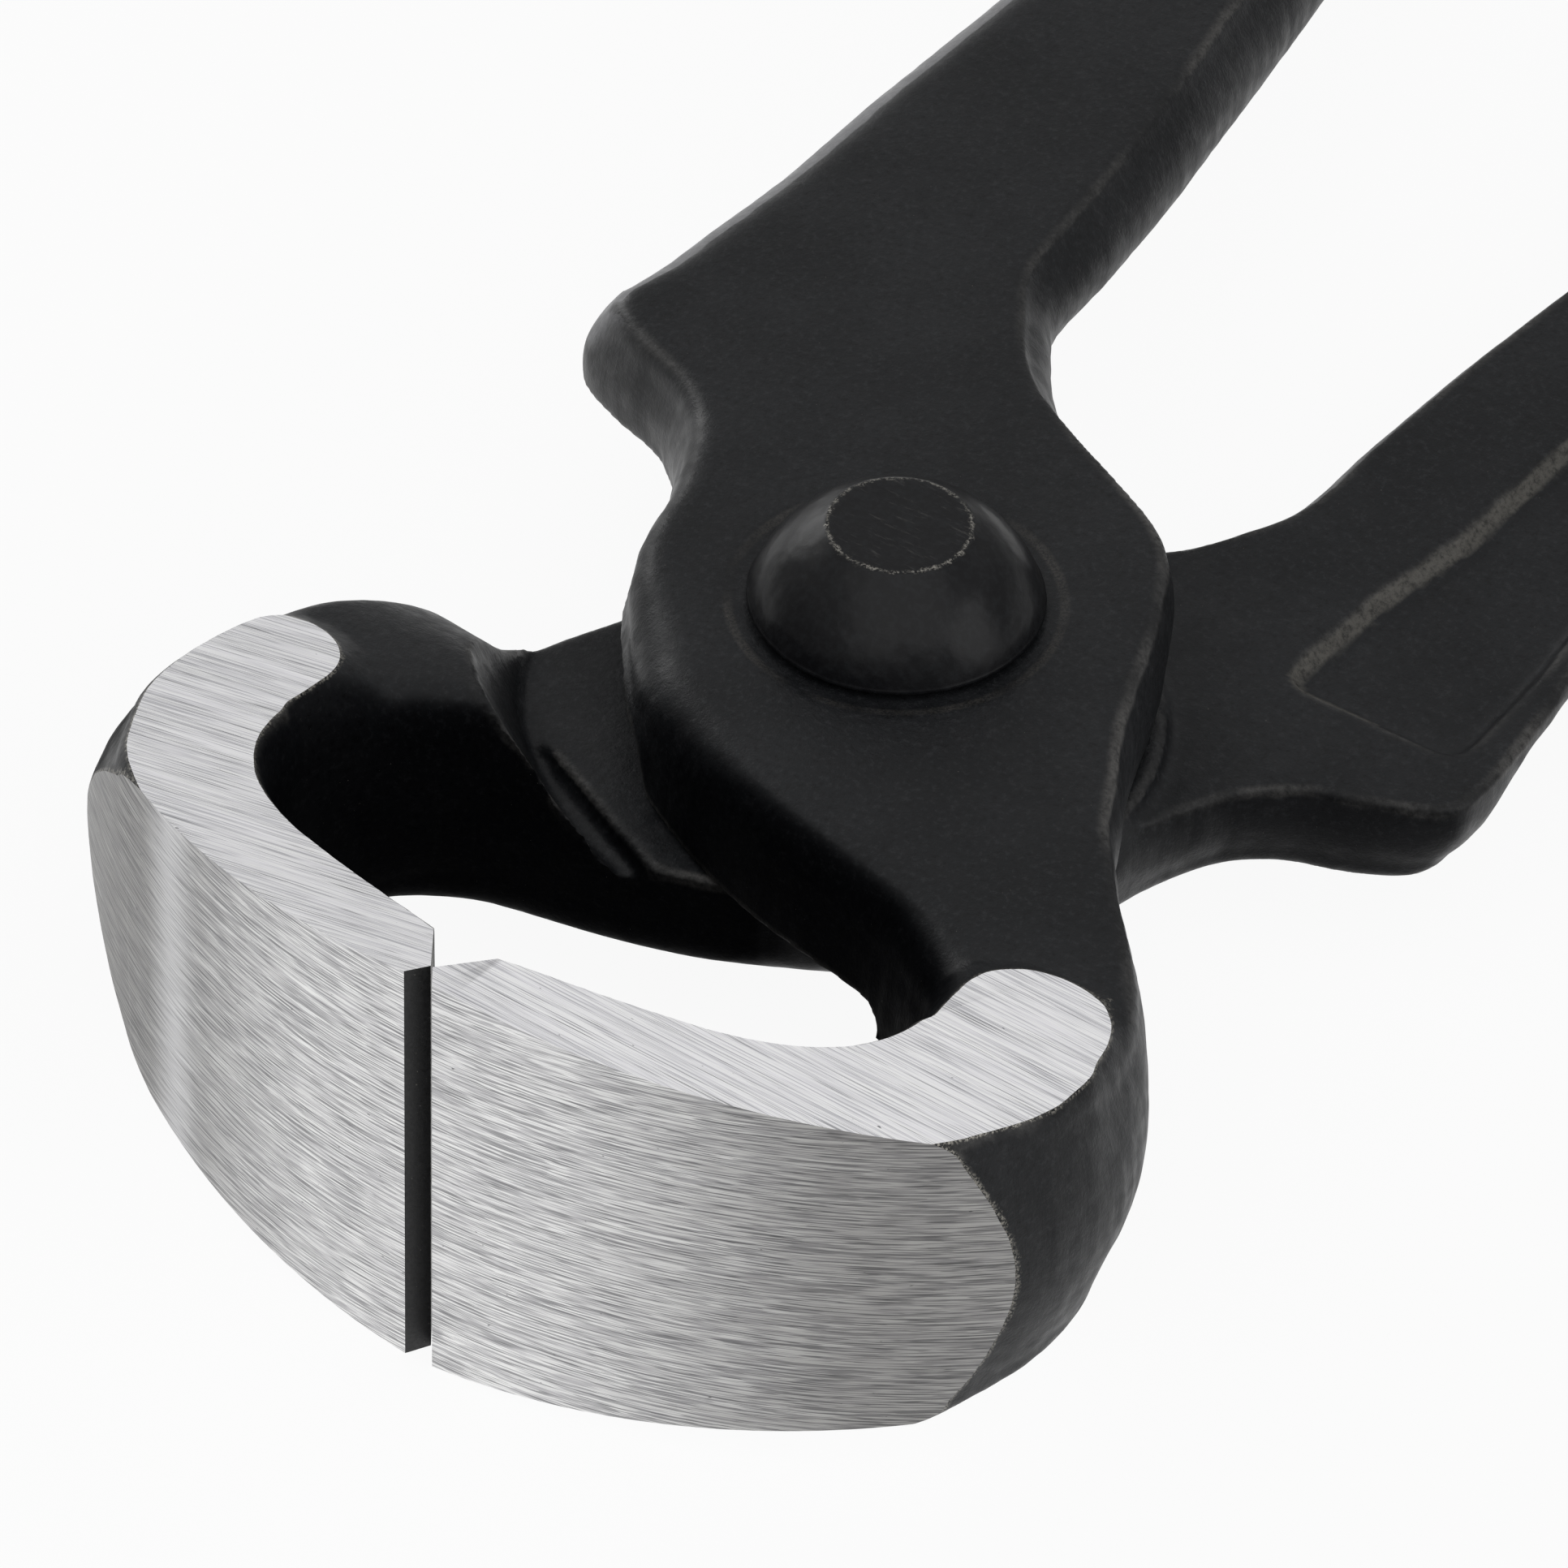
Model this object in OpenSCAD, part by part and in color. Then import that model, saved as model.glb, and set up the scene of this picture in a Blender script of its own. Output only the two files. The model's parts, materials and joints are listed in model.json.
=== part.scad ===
// End cutting nippers in millimetres: two forged levers that lap on a rivet.
// Y is the long axis with the jaws at -Y, and Z is the rivet's axis. The origin is the flat of the
// rear rivet head, on which the tool lies. The rear lever is the front one turned half a turn about Y.

/* [Overall] */
// Overall length, handle ends to the ground front of the jaws
overall_length = 250; // [220:1:290]
// From the rivet's axis to the cutting edges
edge_reach = 39.3; // [37:0.1:42]
// Width over both closed jaws
head_width = 57; // [54:0.5:61]
// Length of the cutting edges
edge_width = 25; // [23:0.5:28]
// Thickness of the riveted joint, both plates together
joint_thickness = 14; // [12.5:0.5:15.5]
// Diameter of each lever's round joint plate
joint_diameter = 28.8; // [28:0.1:30]

/* [Jaws] */
// Metal that stands in front of each cutting edge
front_depth = 1.1; // [0.6:0.1:1.6]
// Width of the bevel in front of each cutting edge
front_bevel = 0.75; // [0.3:0.05:1.2]
// Width of the bevel behind each cutting edge
rear_bevel = 1.9; // [1.2:0.1:2.6]
// Depth of the bevel behind each cutting edge
rear_depth = 2.9; // [2:0.1:4]
// Gap left between the closed cutting edges
edge_gap = 0.1; // [0.06:0.02:0.3]
// How far the outer wall swells past its ground edges
outer_swell = 2.0; // [0.5:0.1:2.6]
// How far the throat wall swells past its ground edges
throat_swell = 0.8; // [0.2:0.1:1.2]
// Metal that grinding takes off each side of the jaws
ground_stock = 0.4; // [0.2:0.05:0.8]

/* [Joint] */
// Clearance between the lapped faces, and under the front rivet head
lap_clearance = 0.04; // [0.02:0.01:0.1]
// Step from the lapped face down to the relieved face around it
lap_relief = 1.0; // [0.6:0.1:1.4]
// How far the lapped face stands back from the plate's edge
lap_inset = 0.55; // [0.3:0.05:1.2]
// How far the foot of each jaw's shoulder stands outside the round plate
shoulder_gap = 3.9; // [3.6:0.1:4.4]
// Width of the groove at the foot of each shoulder
groove_width = 2.1; // [1.2:0.1:2.8]

/* [Rivet] */
// Diameter of the rivet's shank
shank_diameter = 9; // [7:0.1:11]
// Running clearance of the front lever on the shank, across the diameter
shank_clearance = 0.08; // [0.04:0.01:0.16]
// Diameter of the rivet's domed heads
head_diameter = 14.9; // [13.5:0.1:16]
// Height of each domed head
head_height = 4.65; // [3.5:0.05:5.5]
// Diameter of the flat on each head
head_flat = 7.2; // [5:0.1:9]
// Height of the seat that holds each head off its plate
seat_height = 0.3; // [0.1:0.05:0.5]
// How far the seat stands back under the head's rim
seat_step = 0.5; // [0.2:0.05:0.8]
// Width of the spot-faced ring round each head
spot_margin = 0.85; // [0.4:0.05:1.4]
// Depth of the spot facing
spot_depth = 0.15; // [0.05:0.05:0.3]

/* [Handles] */
// Width over both closed handles
handle_span = 64; // [60:0.5:70]
// Width of each handle in the grip
handle_width = 11.5; // [10:0.1:13]
// Thickness of each handle in the grip
handle_thickness = 9.5; // [8:0.1:11]
// Radius of the forged edges of the head
edge_radius = 1.6; // [1:0.1:2]
// Radius of the forged edges of the grip
grip_radius = 3.9; // [2.5:0.1:4]
// Depth of the pocket in each handle's inner face
pocket_depth = 0.7; // [0.3:0.05:1]

/* [Hidden] */
$fn = 96;

joint_radius = joint_diameter / 2;
plate = joint_thickness / 2;
head_half = head_width / 2;
front_radius = edge_reach + front_depth;
handle_length = overall_length - front_radius;
shoulder_radius = joint_radius + shoulder_gap;
lap_radius = joint_radius - lap_inset;
lap_jaw_radius = shoulder_radius - groove_width;
head_radius = head_diameter / 2;
flat_radius = head_flat / 2;
seat_radius = head_radius - seat_step;
spot_radius = head_radius + spot_margin;
// Height of the lap plane over the rear rivet head's flat
lap_height = plate - spot_depth + seat_height + head_height;
// One overrun for every cut, larger than the tool
far = overall_length;

// Fall of the ground side faces, outwards and towards the joint
side_fall_share = 0.10;
back_fall_share = 0.14;
// Where the ground side faces end towards the joint, as a share of the edge's reach
ground_end_share = 0.448;
// Where the cut of the closing plane stops, as a share of the edge's reach
closing_end_share = 0.75;
// Draft of the jaws' shoulders, as a share of their height
shoulder_draft_share = 0.43;
// Turn of the line that parts the jaw side of the lapped face from its handle side
side_turn = 20;

// Grip stations: distance along the handle, centre line and width, as shares of the handle's length,
// of the grip's greatest offset and of the handle's width
grip_shares = [
    [0.930, 0.861, 1.03],
    [0.810, 0.945, 1.01],
    [0.670, 1.000, 0.98],
    [0.525, 0.964, 0.96],
    [0.385, 0.840, 0.98],
    [0.287, 0.720, 1.08],
    [0.239, 0.696, 1.24],
    [0.196, 0.672, 1.38],
    [0.157, 0.655, 1.47],
    [0.124, 0.641, 1.51]
];
// The grip's centre line at its very end
end_centre_share = 0.823;
// Length of the rounded end, as a share of the handle's width
end_round_share = 0.45;
// Turns at which the rounded end has a station
end_turns = [84, 68, 50, 32, 15];

// Head stations round the joint: throat side and far side, as shares of the joint plate's radius
joint_shares = [
    [-1.77, 1.31, -0.43, 1.55],
    [-1.79, 0.93, -0.33, 1.40],
    [-1.75, 0.69, -0.21, 1.28],
    [-1.57, 0.62, -0.07, 1.19],
    [-1.35, 0.51, 0.10, 1.10],
    [-1.18, 0.36, 0.33, 0.99],
    [-1.07, 0.18, 0.53, 0.88],
    [-1.00, 0.01, 0.67, 0.75],
    [-0.96, -0.19, 0.78, 0.54],
    [-0.87, -0.40, 0.87, 0.32],
    [-0.72, -0.61, 0.95, 0.09],
    [-0.53, -0.83, 1.04, -0.13],
    [-0.32, -0.96, 1.14, -0.32],
    [-0.06, -1.09, 1.22, -0.49]
];
// The first joint station that is forged to the jaw's full depth
deep_station = 12;

// Jaw stations: throat side and outer side, as shares of half the head's width across and of the
// edge's reach along, then the share of the jaw's own crown that each has, and how deep its outer
// wall reaches as a share of its throat wall
jaw_shares = [
    [0.112, -0.435, 0.663, -0.226, 0.00, 0.10],
    [0.256, -0.458, 0.723, -0.280, 0.03, 0.52],
    [0.358, -0.473, 0.793, -0.333, 0.10, 0.66],
    [0.439, -0.501, 0.870, -0.392, 0.28, 0.74],
    [0.512, -0.542, 0.937, -0.463, 0.62, 0.88],
    [0.565, -0.585, 0.982, -0.545, 0.90, 0.97],
    [0.593, -0.641, 1.000, -0.623, 1.00, 1.00],
    [0.586, -0.697, 0.993, -0.700, 1.00, 1.00],
    [0.554, -0.748, 0.958, -0.770, 1.00, 1.00],
    [0.491, -0.794, 0.898, -0.855, 1.00, 1.00],
    [0.400, -0.832, 0.807, -0.921, 1.00, 1.00],
    [0.309, -0.855, 0.719, -0.967, 1.00, 1.00],
    [0.193, -0.878, 0.561, -1.025, 1.00, 1.00],
    [0.070, -0.898, 0.351, -1.076, 1.00, 1.00],
    [0.000, -0.908, 0.140, -1.102, 1.00, 1.00],
    [-0.070, -0.919, -0.053, -1.107, 1.00, 1.00]
];

// Swell of the head's and the handle's walls, as a share of the throat's
wall_swell_share = 0.5;
// Stretch of the handle over which its outer face falls to the grip, as shares of its length
fall_start_share = 0.26;
fall_end_share = 0.55;
// Stretch over which the edges grow round, as shares of the handle's length
round_start_share = 0.18;
round_end_share = 0.52;
// Where the relieved inner face starts to fall and where it runs out, as shares of the handle's length
face_start_share = 0.095;
face_end_share = 0.535;
// Forged metal below the relieved inner face, as a share of the relief
rough_share = 0.5;
// Longest step between two stations, as a share of the joint plate's radius
step_share = 0.16;
most_steps = 5;

// Points of a rounded corner, and of a wall between two corners
corner_turns = [0, 30, 60, 90];
wall_places = [-0.6, 0, 0.6];

// The pocket's corners, as shares of the joint plate's radius, and its corner radius
pocket_shares = [[-1.09, 1.12], [-1.56, 1.12], [-1.57, 3.85], [-1.36, 3.85]];
pocket_round_share = 0.08;

function mix(a, b, t) = a * (1 - t) + b * t;
function held(t) = min(1, max(0, t));
function eased(t) = held(t) * held(t) * (3 - 2 * held(t));
function ground(x, y) = edge_width / 2 - side_fall_share * x - back_fall_share * (y + edge_reach);

// Height of the inner face along the handle
face_start = face_start_share * handle_length;
face_end = face_end_share * handle_length;
face_fall = (lap_relief + handle_thickness / 2) / (face_end - face_start);
function face_height(y) = lap_relief - face_fall * max(0, y - face_start);

function outer_height(y) =
    mix(plate, handle_thickness / 2,
        eased((y / handle_length - fall_start_share) / (fall_end_share - fall_start_share)));
function inner_height(y) =
    y < joint_radius / 2 ? -rough_share * lap_relief
    : max(-handle_thickness / 2, face_height(y) - rough_share * lap_relief);
function corner_radius(y) =
    mix(edge_radius, grip_radius,
        eased((y / handle_length - round_start_share) / (round_end_share - round_start_share)));

// A station is [throat x, throat y, far x, far y, crown, depth, size, outer depth], where crown and
// depth turn the plate's section into the jaw's, size shrinks the section at the handle's end, and
// outer depth is the share of the depth that the far wall has
grip_offset = handle_span / 2 - handle_width / 2;
function grip_station(y, centre, width, size) =
    [-centre - width / 2, y, -centre + width / 2, y, 0, 0, size, 0];
end_round = end_round_share * handle_width;
end_width = grip_shares[0][2] * handle_width;
stations = concat(
    [for (turn = end_turns)
        grip_station(handle_length - end_round * (1 - sin(turn)),
            end_centre_share * grip_offset, end_width, cos(turn))],
    [for (s = grip_shares)
        grip_station(s[0] * handle_length, s[1] * grip_offset, s[2] * handle_width, 1)],
    [for (i = [0 : len(joint_shares) - 1])
        let (s = joint_shares[i] * joint_radius)
        [s[0], s[1], s[2], s[3], 0, i < deep_station ? 0 : 1, 1, 0]],
    [for (s = jaw_shares)
        [s[0] * head_half, s[1] * edge_reach, s[2] * head_half, s[3] * edge_reach, s[4], 1, 1, s[5]]]
);

// A smooth curve through the stations
function through(a, b, c, d, t) =
    b + 0.5 * t * (c - a + t * (2 * a - 5 * b + 4 * c - d + t * (3 * (b - c) + d - a)));
function apart(a, b) = max(norm([a[0] - b[0], a[1] - b[1]]), norm([a[2] - b[2], a[3] - b[3]]));
function steps(a, b) = min(most_steps, max(1, round(apart(a, b) / (step_share * joint_radius))));
last = len(stations) - 1;
rungs = concat(
    [for (i = [0 : last - 1])
        let (
            a = stations[max(0, i - 1)],
            b = stations[i],
            c = stations[i + 1],
            d = stations[min(last, i + 2)],
            n = steps(b, c)
        )
        for (k = [0 : n - 1]) through(a, b, c, d, k / n)],
    [stations[last]]
);

// One rung's ring of points. Its corners are [across, up], each +1 or -1.
corners = [[-1, 1], [1, 1], [1, -1], [-1, -1]];
function ring(rung) =
    let (
        throat = [rung[0], rung[1]],
        outer = [rung[2], rung[3]],
        middle = (throat + outer) / 2,
        half = norm(outer - throat) / 2 * rung[6],
        along = (outer - throat) / norm(outer - throat),
        crown = held(rung[4]),
        depth = held(rung[5]),
        swells = [
            mix(wall_swell_share, 1, crown) * throat_swell,
            mix(wall_swell_share * throat_swell, outer_swell, crown)
        ]
    )
    [for (c = [0 : 3])
        let (
            side = corners[c][0],
            up = corners[c][1],
            swell = swells[side < 0 ? 0 : 1] * rung[6],
            round_r = min(corner_radius(middle[1]) * rung[6], half - swell)
        )
        each concat(
            [for (turn = corner_turns)
                let (
                    lean = side * up > 0 ? turn : 90 - turn,
                    u = side * (half - swell - round_r * (1 - cos(90 - lean)))
                )
                surface_point(middle + along * u, up, round_r * (1 - sin(90 - lean)), rung)],
            side * up > 0
                ? [for (place = side > 0 ? -wall_places : wall_places)
                    wall_point(middle + along * side * (half - swell * place * place), place, rung)]
                : []
        )];
function heights(p, rung) =
    let (
        crown = held(rung[4]),
        across = held(norm([p[0] - rung[0], p[1] - rung[1]])
            / norm([rung[2] - rung[0], rung[3] - rung[1]])),
        deep = mix(plate, ground(p[0], p[1]) + ground_stock, crown)
            * mix(1, rung[7], across * across),
        top = mix(outer_height(p[1]), ground(p[0], p[1]) + ground_stock, crown),
        foot = mix(inner_height(p[1]), -deep, held(rung[5])),
        mid = (top + foot) / 2,
        reach = (top - foot) / 2 * rung[6]
    )
    [mid + reach, mid - reach];
function surface_point(p, up, drop, rung) =
    let (h = heights(p, rung))
    [p[0], p[1], up > 0 ? h[0] - drop : h[1] + drop];
function wall_point(p, place, rung) =
    let (h = heights(p, rung), r = corner_radius(p[1]) * rung[6])
    [p[0], p[1], mix(h[1] + r, h[0] - r, (1 + place) / 2)];

rings = [for (rung = rungs) ring(rung)];
ring_count = len(rings[0]);

// The raw forging before any face is ground or relieved
module forged_blank() {
    points = [for (r = rings) each r];
    walls = [
        for (i = [0 : len(rings) - 2])
            for (j = [0 : ring_count - 1])
                let (
                    a = i * ring_count + j,
                    b = i * ring_count + (j + 1) % ring_count
                )
                each [[a, b, b + ring_count], [a, b + ring_count, a + ring_count]]
    ];
    ends = [
        [for (j = [ring_count - 1 : -1 : 0]) j],
        [for (j = [0 : ring_count - 1]) (len(rings) - 1) * ring_count + j]
    ];
    polyhedron(points, concat(walls, ends), convexity = 8);
}

// Everything on the inner side of the relieved face, sunk by a depth
module under_face(sink = 0) {
    translate([-far / 2, 0, sink])
        rotate([90, 0, 90])
            linear_extrude(far)
                polygon([
                    [-far, -far],
                    [-far, lap_relief],
                    [face_start, lap_relief],
                    [handle_length, face_height(handle_length)],
                    [handle_length, -far]
                ]);
}

// The half of space on one side of the line that parts jaw side and handle side
module half_space(turn) {
    rotate([0, 0, turn])
        translate([-far / 2, 0, -far / 2])
            cube(far);
}

// What is cut from the inner face: the lapped face, the relief round it and the jaw's shoulder
module lap_cut() {
    difference() {
        intersection() {
            under_face();
            half_space(side_turn);
        }
        translate([0, 0, lap_clearance / 2])
            cylinder(r = lap_radius, h = far);
    }
    difference() {
        intersection() {
            translate([0, 0, -edge_width])
                cylinder(
                    r1 = shoulder_radius + shoulder_draft_share * edge_width,
                    r2 = shoulder_radius - shoulder_draft_share * lap_relief,
                    h = edge_width + lap_relief
                );
            translate([0, lap_clearance, 0])
                half_space(side_turn + 180);
        }
        translate([0, 0, lap_clearance / 2])
            cylinder(r = lap_jaw_radius, h = far);
    }
}

// What grinding takes off one side of the jaw
module side_grinding() {
    lean = atan(side_fall_share);
    intersection() {
        translate([0, -edge_reach, edge_width / 2])
            rotate([-atan(back_fall_share * cos(lean)), lean, 0])
                translate([-far / 2, -far / 2, 0])
                    cube(far);
        translate([-far / 2, -far - ground_end_share * edge_reach, -far / 2])
            cube(far);
    }
}

// What grinding takes off the front of the jaw
module front_grinding() {
    difference() {
        translate([-far / 2, -far, -far / 2])
            cube(far);
        translate([0, 0, -far])
            cylinder(r = front_radius, h = 2 * far);
    }
}

// What is cut from the jaw's end: the closing plane and the bevels on both sides of the edge
module edge_cut() {
    translate([edge_gap / 2 - far, -far - closing_end_share * edge_reach, -far / 2])
        cube(far);
    translate([edge_gap / 2, -edge_reach, -far / 2])
        linear_extrude(far)
            polygon([
                [0, 0],
                [2 * front_bevel, -2 * front_depth],
                [-front_bevel, -2 * front_depth],
                [-front_bevel, 2 * rear_depth],
                [2 * rear_bevel, 2 * rear_depth]
            ]);
}

// The bare pocket in the inner face
module pocket() {
    intersection() {
        under_face(pocket_depth);
        hull()
            for (corner = pocket_shares * joint_radius)
                translate([corner[0], corner[1], -far / 2])
                    cylinder(r = pocket_round_share * joint_radius, h = far, $fn = 24);
    }
}

module lever(bore) {
    difference() {
        forged_blank();
        lap_cut();
        side_grinding();
        rotate([0, 180, 0])
            mirror([1, 0, 0])
                side_grinding();
        front_grinding();
        edge_cut();
        pocket();
        translate([0, 0, -far / 2])
            cylinder(d = bore, h = far);
        translate([0, 0, plate - spot_depth])
            cylinder(r = spot_radius, h = far);
    }
}

module front_lever() {
    color([0.16, 0.165, 0.17])
        translate([0, 0, lap_height])
            lever(shank_diameter + shank_clearance);
}

module rear_lever() {
    color([0.2, 0.205, 0.21])
        translate([0, 0, lap_height])
            rotate([0, 180, 0])
                lever(shank_diameter);
}

// One rivet head, from its seat up: a ball cut flat, whose centre lies on the rivet's axis
module rivet_head() {
    ball_centre = (flat_radius * flat_radius + head_height * head_height - head_radius * head_radius)
        / (2 * head_height);
    ball_radius = norm([head_radius, ball_centre]);
    cylinder(r = seat_radius, h = seat_height);
    translate([0, 0, seat_height])
        intersection() {
            translate([0, 0, ball_centre])
                sphere(r = ball_radius);
            cylinder(r = head_diameter, h = head_height);
        }
}

module rivet() {
    seat = plate - spot_depth;
    color([0.12, 0.12, 0.125])
        translate([0, 0, lap_height]) {
            translate([0, 0, -seat])
                cylinder(d = shank_diameter, h = 2 * seat + lap_clearance);
            translate([0, 0, seat + lap_clearance])
                rivet_head();
            rotate([180, 0, 0])
                translate([0, 0, seat])
                    rivet_head();
        }
}

front_lever();
rear_lever();
rivet();
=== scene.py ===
"""End cutting nippers, dressed for the render: two forged and lacquered levers with ground jaws,
and the rivet that joins them. Lengths are in millimetres until a mesh is made, which is in metres."""
import json
import math

import bmesh
import bpy
import numpy as np
from mathutils import Matrix, Vector, noise


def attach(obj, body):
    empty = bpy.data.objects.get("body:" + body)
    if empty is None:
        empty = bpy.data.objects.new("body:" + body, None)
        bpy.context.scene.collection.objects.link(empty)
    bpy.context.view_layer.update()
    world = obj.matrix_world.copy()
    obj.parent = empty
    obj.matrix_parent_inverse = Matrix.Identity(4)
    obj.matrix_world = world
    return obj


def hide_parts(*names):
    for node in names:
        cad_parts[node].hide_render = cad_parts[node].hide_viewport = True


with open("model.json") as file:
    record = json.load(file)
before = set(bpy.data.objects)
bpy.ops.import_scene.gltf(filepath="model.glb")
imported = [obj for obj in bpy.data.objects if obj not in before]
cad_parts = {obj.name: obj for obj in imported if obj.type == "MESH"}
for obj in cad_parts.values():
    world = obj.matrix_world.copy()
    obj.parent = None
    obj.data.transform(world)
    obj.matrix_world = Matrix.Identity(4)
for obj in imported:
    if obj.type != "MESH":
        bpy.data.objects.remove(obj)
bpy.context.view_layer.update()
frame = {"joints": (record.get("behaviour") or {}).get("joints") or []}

MM = 0.001
LAP = frame["joints"][0]["pos_m"][2] / MM

# Driving sizes of the levers, in millimetres
OVERALL = 250.0
EDGE_REACH = 39.3
FRONT_DEPTH = 1.1
FRONT_RADIUS = EDGE_REACH + FRONT_DEPTH - 0.01
HEAD_HALF = 28.5
EDGE_HALF = 12.5
PLATE = 7.0
JOINT_RADIUS = 14.4
HANDLE_LENGTH = OVERALL - FRONT_RADIUS
HANDLE_SPAN = 64.0
HANDLE_WIDTH = 11.5
HANDLE_HALF = 4.75
# The ground faces of the jaw: how much the sides fall across and along it, what grinding takes off,
# and where it ends
SIDE_FALL = 0.10
BACK_FALL = 0.14
GROUND_STOCK = 0.4
GROUND_INSET = 0.03
GROUND_END = 0.448 * EDGE_REACH
# The round end of a ground side face, and how fast the forging falls away outside it
LOBE_X, LOBE_Y, LOBE_RADIUS = 22.3, -22.3, 4.1
LOBE_FALL = 0.6
# Walls and edges: extra rounding, draft, crispness and swelling
NECK_EXTRA = 1.6
OUTER_EXTRA = 2.0
OUTER_DRAFT = 1.1
NOTCH_DRAFT = 0.5
LAP_CRISP = 0.7
GAP_CRISP = 1.0
GAP_SWELL = 1.1
# Where the forms of the handle's sides start and end, and over what length they fade away
ROUND_START = 13.6
HANDLE_FORM_END = 100.0
HANDLE_FORM_FADE = 60.0
GAP_CRISP_END = 90.0
GAP_FADE = 40.0
THROAT_SWELL = 0.8
WALL_SWELL = 0.4
EDGE_RADIUS = 1.6
GRIP_RADIUS = 3.9
# Shares of the handle's length between which it thins out, and between which its edges grow round
THINNING = (0.26, 0.55)
ROUNDING = (0.18, 0.52)
# The lap joint: the round plate, the relieved face round it, the jaw's shoulder and its groove
LAP_RELIEF = 1.0
LAP_CLEARANCE = 0.04
LAP_RADIUS = JOINT_RADIUS - 0.55
SHOULDER_RADIUS = JOINT_RADIUS + 3.9
SHOULDER_DRAFT = 0.43
GROOVE_LINE = ((14.6, -11.4), (4.0, -16.4))
SIDE_TURN = math.radians(20)
# The cutting edges, their bevels, and where the cut between the jaws ends
EDGE_GAP = 0.1
FRONT_BEVEL = 0.75
REAR_BEVEL = 1.9
REAR_DEPTH = 2.9
CLOSING_END = -0.75 * EDGE_REACH
# The rivet's bore and the spot face under its head
SHANK_RADIUS = 4.5
BORE_RADIUS = SHANK_RADIUS + 0.05
SPOT_RADIUS = 8.3
SPOT_DEPTH = 0.15
# The inner face of the handle, which slopes from the lap to the grip's underside
FACE_START = 0.095 * HANDLE_LENGTH
FACE_END = 0.535 * HANDLE_LENGTH
FACE_FALL = (LAP_RELIEF + HANDLE_HALF) / (FACE_END - FACE_START)
ROUGH = 0.5
# Well outside the tool
FAR = 60.0

# What differs between the two forgings: how far out the jaw's back lies, how much its outer wall swells,
# the radius of its shoulder's foot, and how far its cutting edge stands back from the middle
FRONT_FORM = {"bulk": -0.35, "swell": 1.3, "shoulder": SHOULDER_RADIUS + 3.7, "shift": 0.2}
REAR_FORM = {"bulk": 0, "swell": 2.7, "shoulder": SHOULDER_RADIUS, "shift": -0.2}
# What differs in their surface and painted light: how much painted shade the notch gets, or painted sheen
# where it is below zero, how much painted sheen the handle's rounded rim gets, how much painted shade the
# jaw's back gets, the slant of the scratches in degrees, and where a painted highlight band crosses the
# jaw's front
FRONT_FINISH_AND_LIGHT = {"notch": -0.8, "rim": 1.0, "back": 0.0, "slant": 4.0, "painted_highlight_at": None}
REAR_FINISH_AND_LIGHT = {"notch": 0.5, "rim": 0.0, "back": 0.85, "slant": -6.0, "painted_highlight_at": 17.5}

# How finely the forging is lofted, remeshed and smoothed
RUNG_STEP = 0.8
CORNER_POINTS = 8
FACE_POINTS = 9
VOXEL = 0.31
SMOOTHING_PASSES = 3
# How deep the skin sinks by soft hollows, by grain and by streaks down the walls
HOLLOW_SINK = 0.05
GRAIN_SINK = 0.012
STREAK_SINK = 0.05

# Grip stations: distance along the handle, centre line and width, as shares of the handle's length,
# of the grip's greatest offset and of the handle's width
GRIP_SHARES = [
    (0.930, 0.861, 1.03), (0.810, 0.945, 1.01), (0.670, 1.000, 0.98), (0.525, 0.964, 0.96),
    (0.385, 0.840, 0.98), (0.287, 0.720, 1.08), (0.239, 0.696, 1.24), (0.196, 0.676, 1.40),
    (0.157, 0.665, 1.52), (0.124, 0.655, 1.59),
]
END_CENTRE_SHARE = 0.823
END_ROUND_SHARE = 0.45
END_TURNS = (84, 76, 68, 59, 50, 41, 32, 23, 15, 7)

# Head stations round the joint: throat side and far side, as shares of the joint plate's radius
JOINT_SHARES = [
    (-1.87, 1.31, -0.43, 1.55), (-1.89, 0.91, -0.33, 1.40), (-1.84, 0.72, -0.21, 1.28),
    (-1.62, 0.60, -0.07, 1.19), (-1.39, 0.52, 0.10, 1.10), (-1.21, 0.38, 0.33, 0.99),
    (-1.09, 0.19, 0.53, 0.88), (-1.01, 0.01, 0.67, 0.75), (-0.96, -0.19, 0.78, 0.54),
    (-0.87, -0.40, 0.87, 0.32), (-0.72, -0.61, 0.95, 0.09), (-0.53, -0.83, 1.04, -0.13),
    (-0.32, -0.96, 1.14, -0.32), (-0.06, -1.09, 1.22, -0.49),
]
DEEP_STATION = 12

# Jaw stations: throat side and outer side, as shares of half the head's width across and of the
# edge's reach along, then the jaw's own crown, and the outer wall's depth as a share of the throat's
JAW_SHARES = [
    (0.112, -0.435, 0.663, -0.226, 0.00, 0.10), (0.256, -0.458, 0.723, -0.280, 0.03, 0.56),
    (0.358, -0.473, 0.793, -0.333, 0.10, 0.78), (0.439, -0.501, 0.870, -0.392, 0.28, 0.90),
    (0.512, -0.542, 0.937, -0.463, 0.62, 0.98), (0.565, -0.585, 0.982, -0.545, 0.90, 1.00),
    (0.593, -0.641, 1.000, -0.623, 1.00, 1.00), (0.586, -0.697, 0.993, -0.700, 1.00, 1.00),
    (0.554, -0.748, 0.958, -0.770, 1.00, 1.00), (0.491, -0.794, 0.898, -0.855, 1.00, 1.00),
    (0.400, -0.832, 0.807, -0.921, 1.00, 1.00), (0.309, -0.855, 0.719, -0.967, 1.00, 1.00),
    (0.193, -0.878, 0.561, -1.025, 1.00, 1.00), (0.070, -0.898, 0.351, -1.076, 1.00, 1.00),
    (0.000, -0.908, 0.140, -1.102, 1.00, 1.00), (-0.070, -0.919, -0.053, -1.107, 1.00, 1.00),
]

# How much of its bulk the jaw's back takes at each of those stations
BULK_SHARES = [0, 0, 0, 0, 0, 0.2, 0.5, 0.9, 1, 1, 0.9, 0.5, 0.2, 0, 0, 0]

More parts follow.
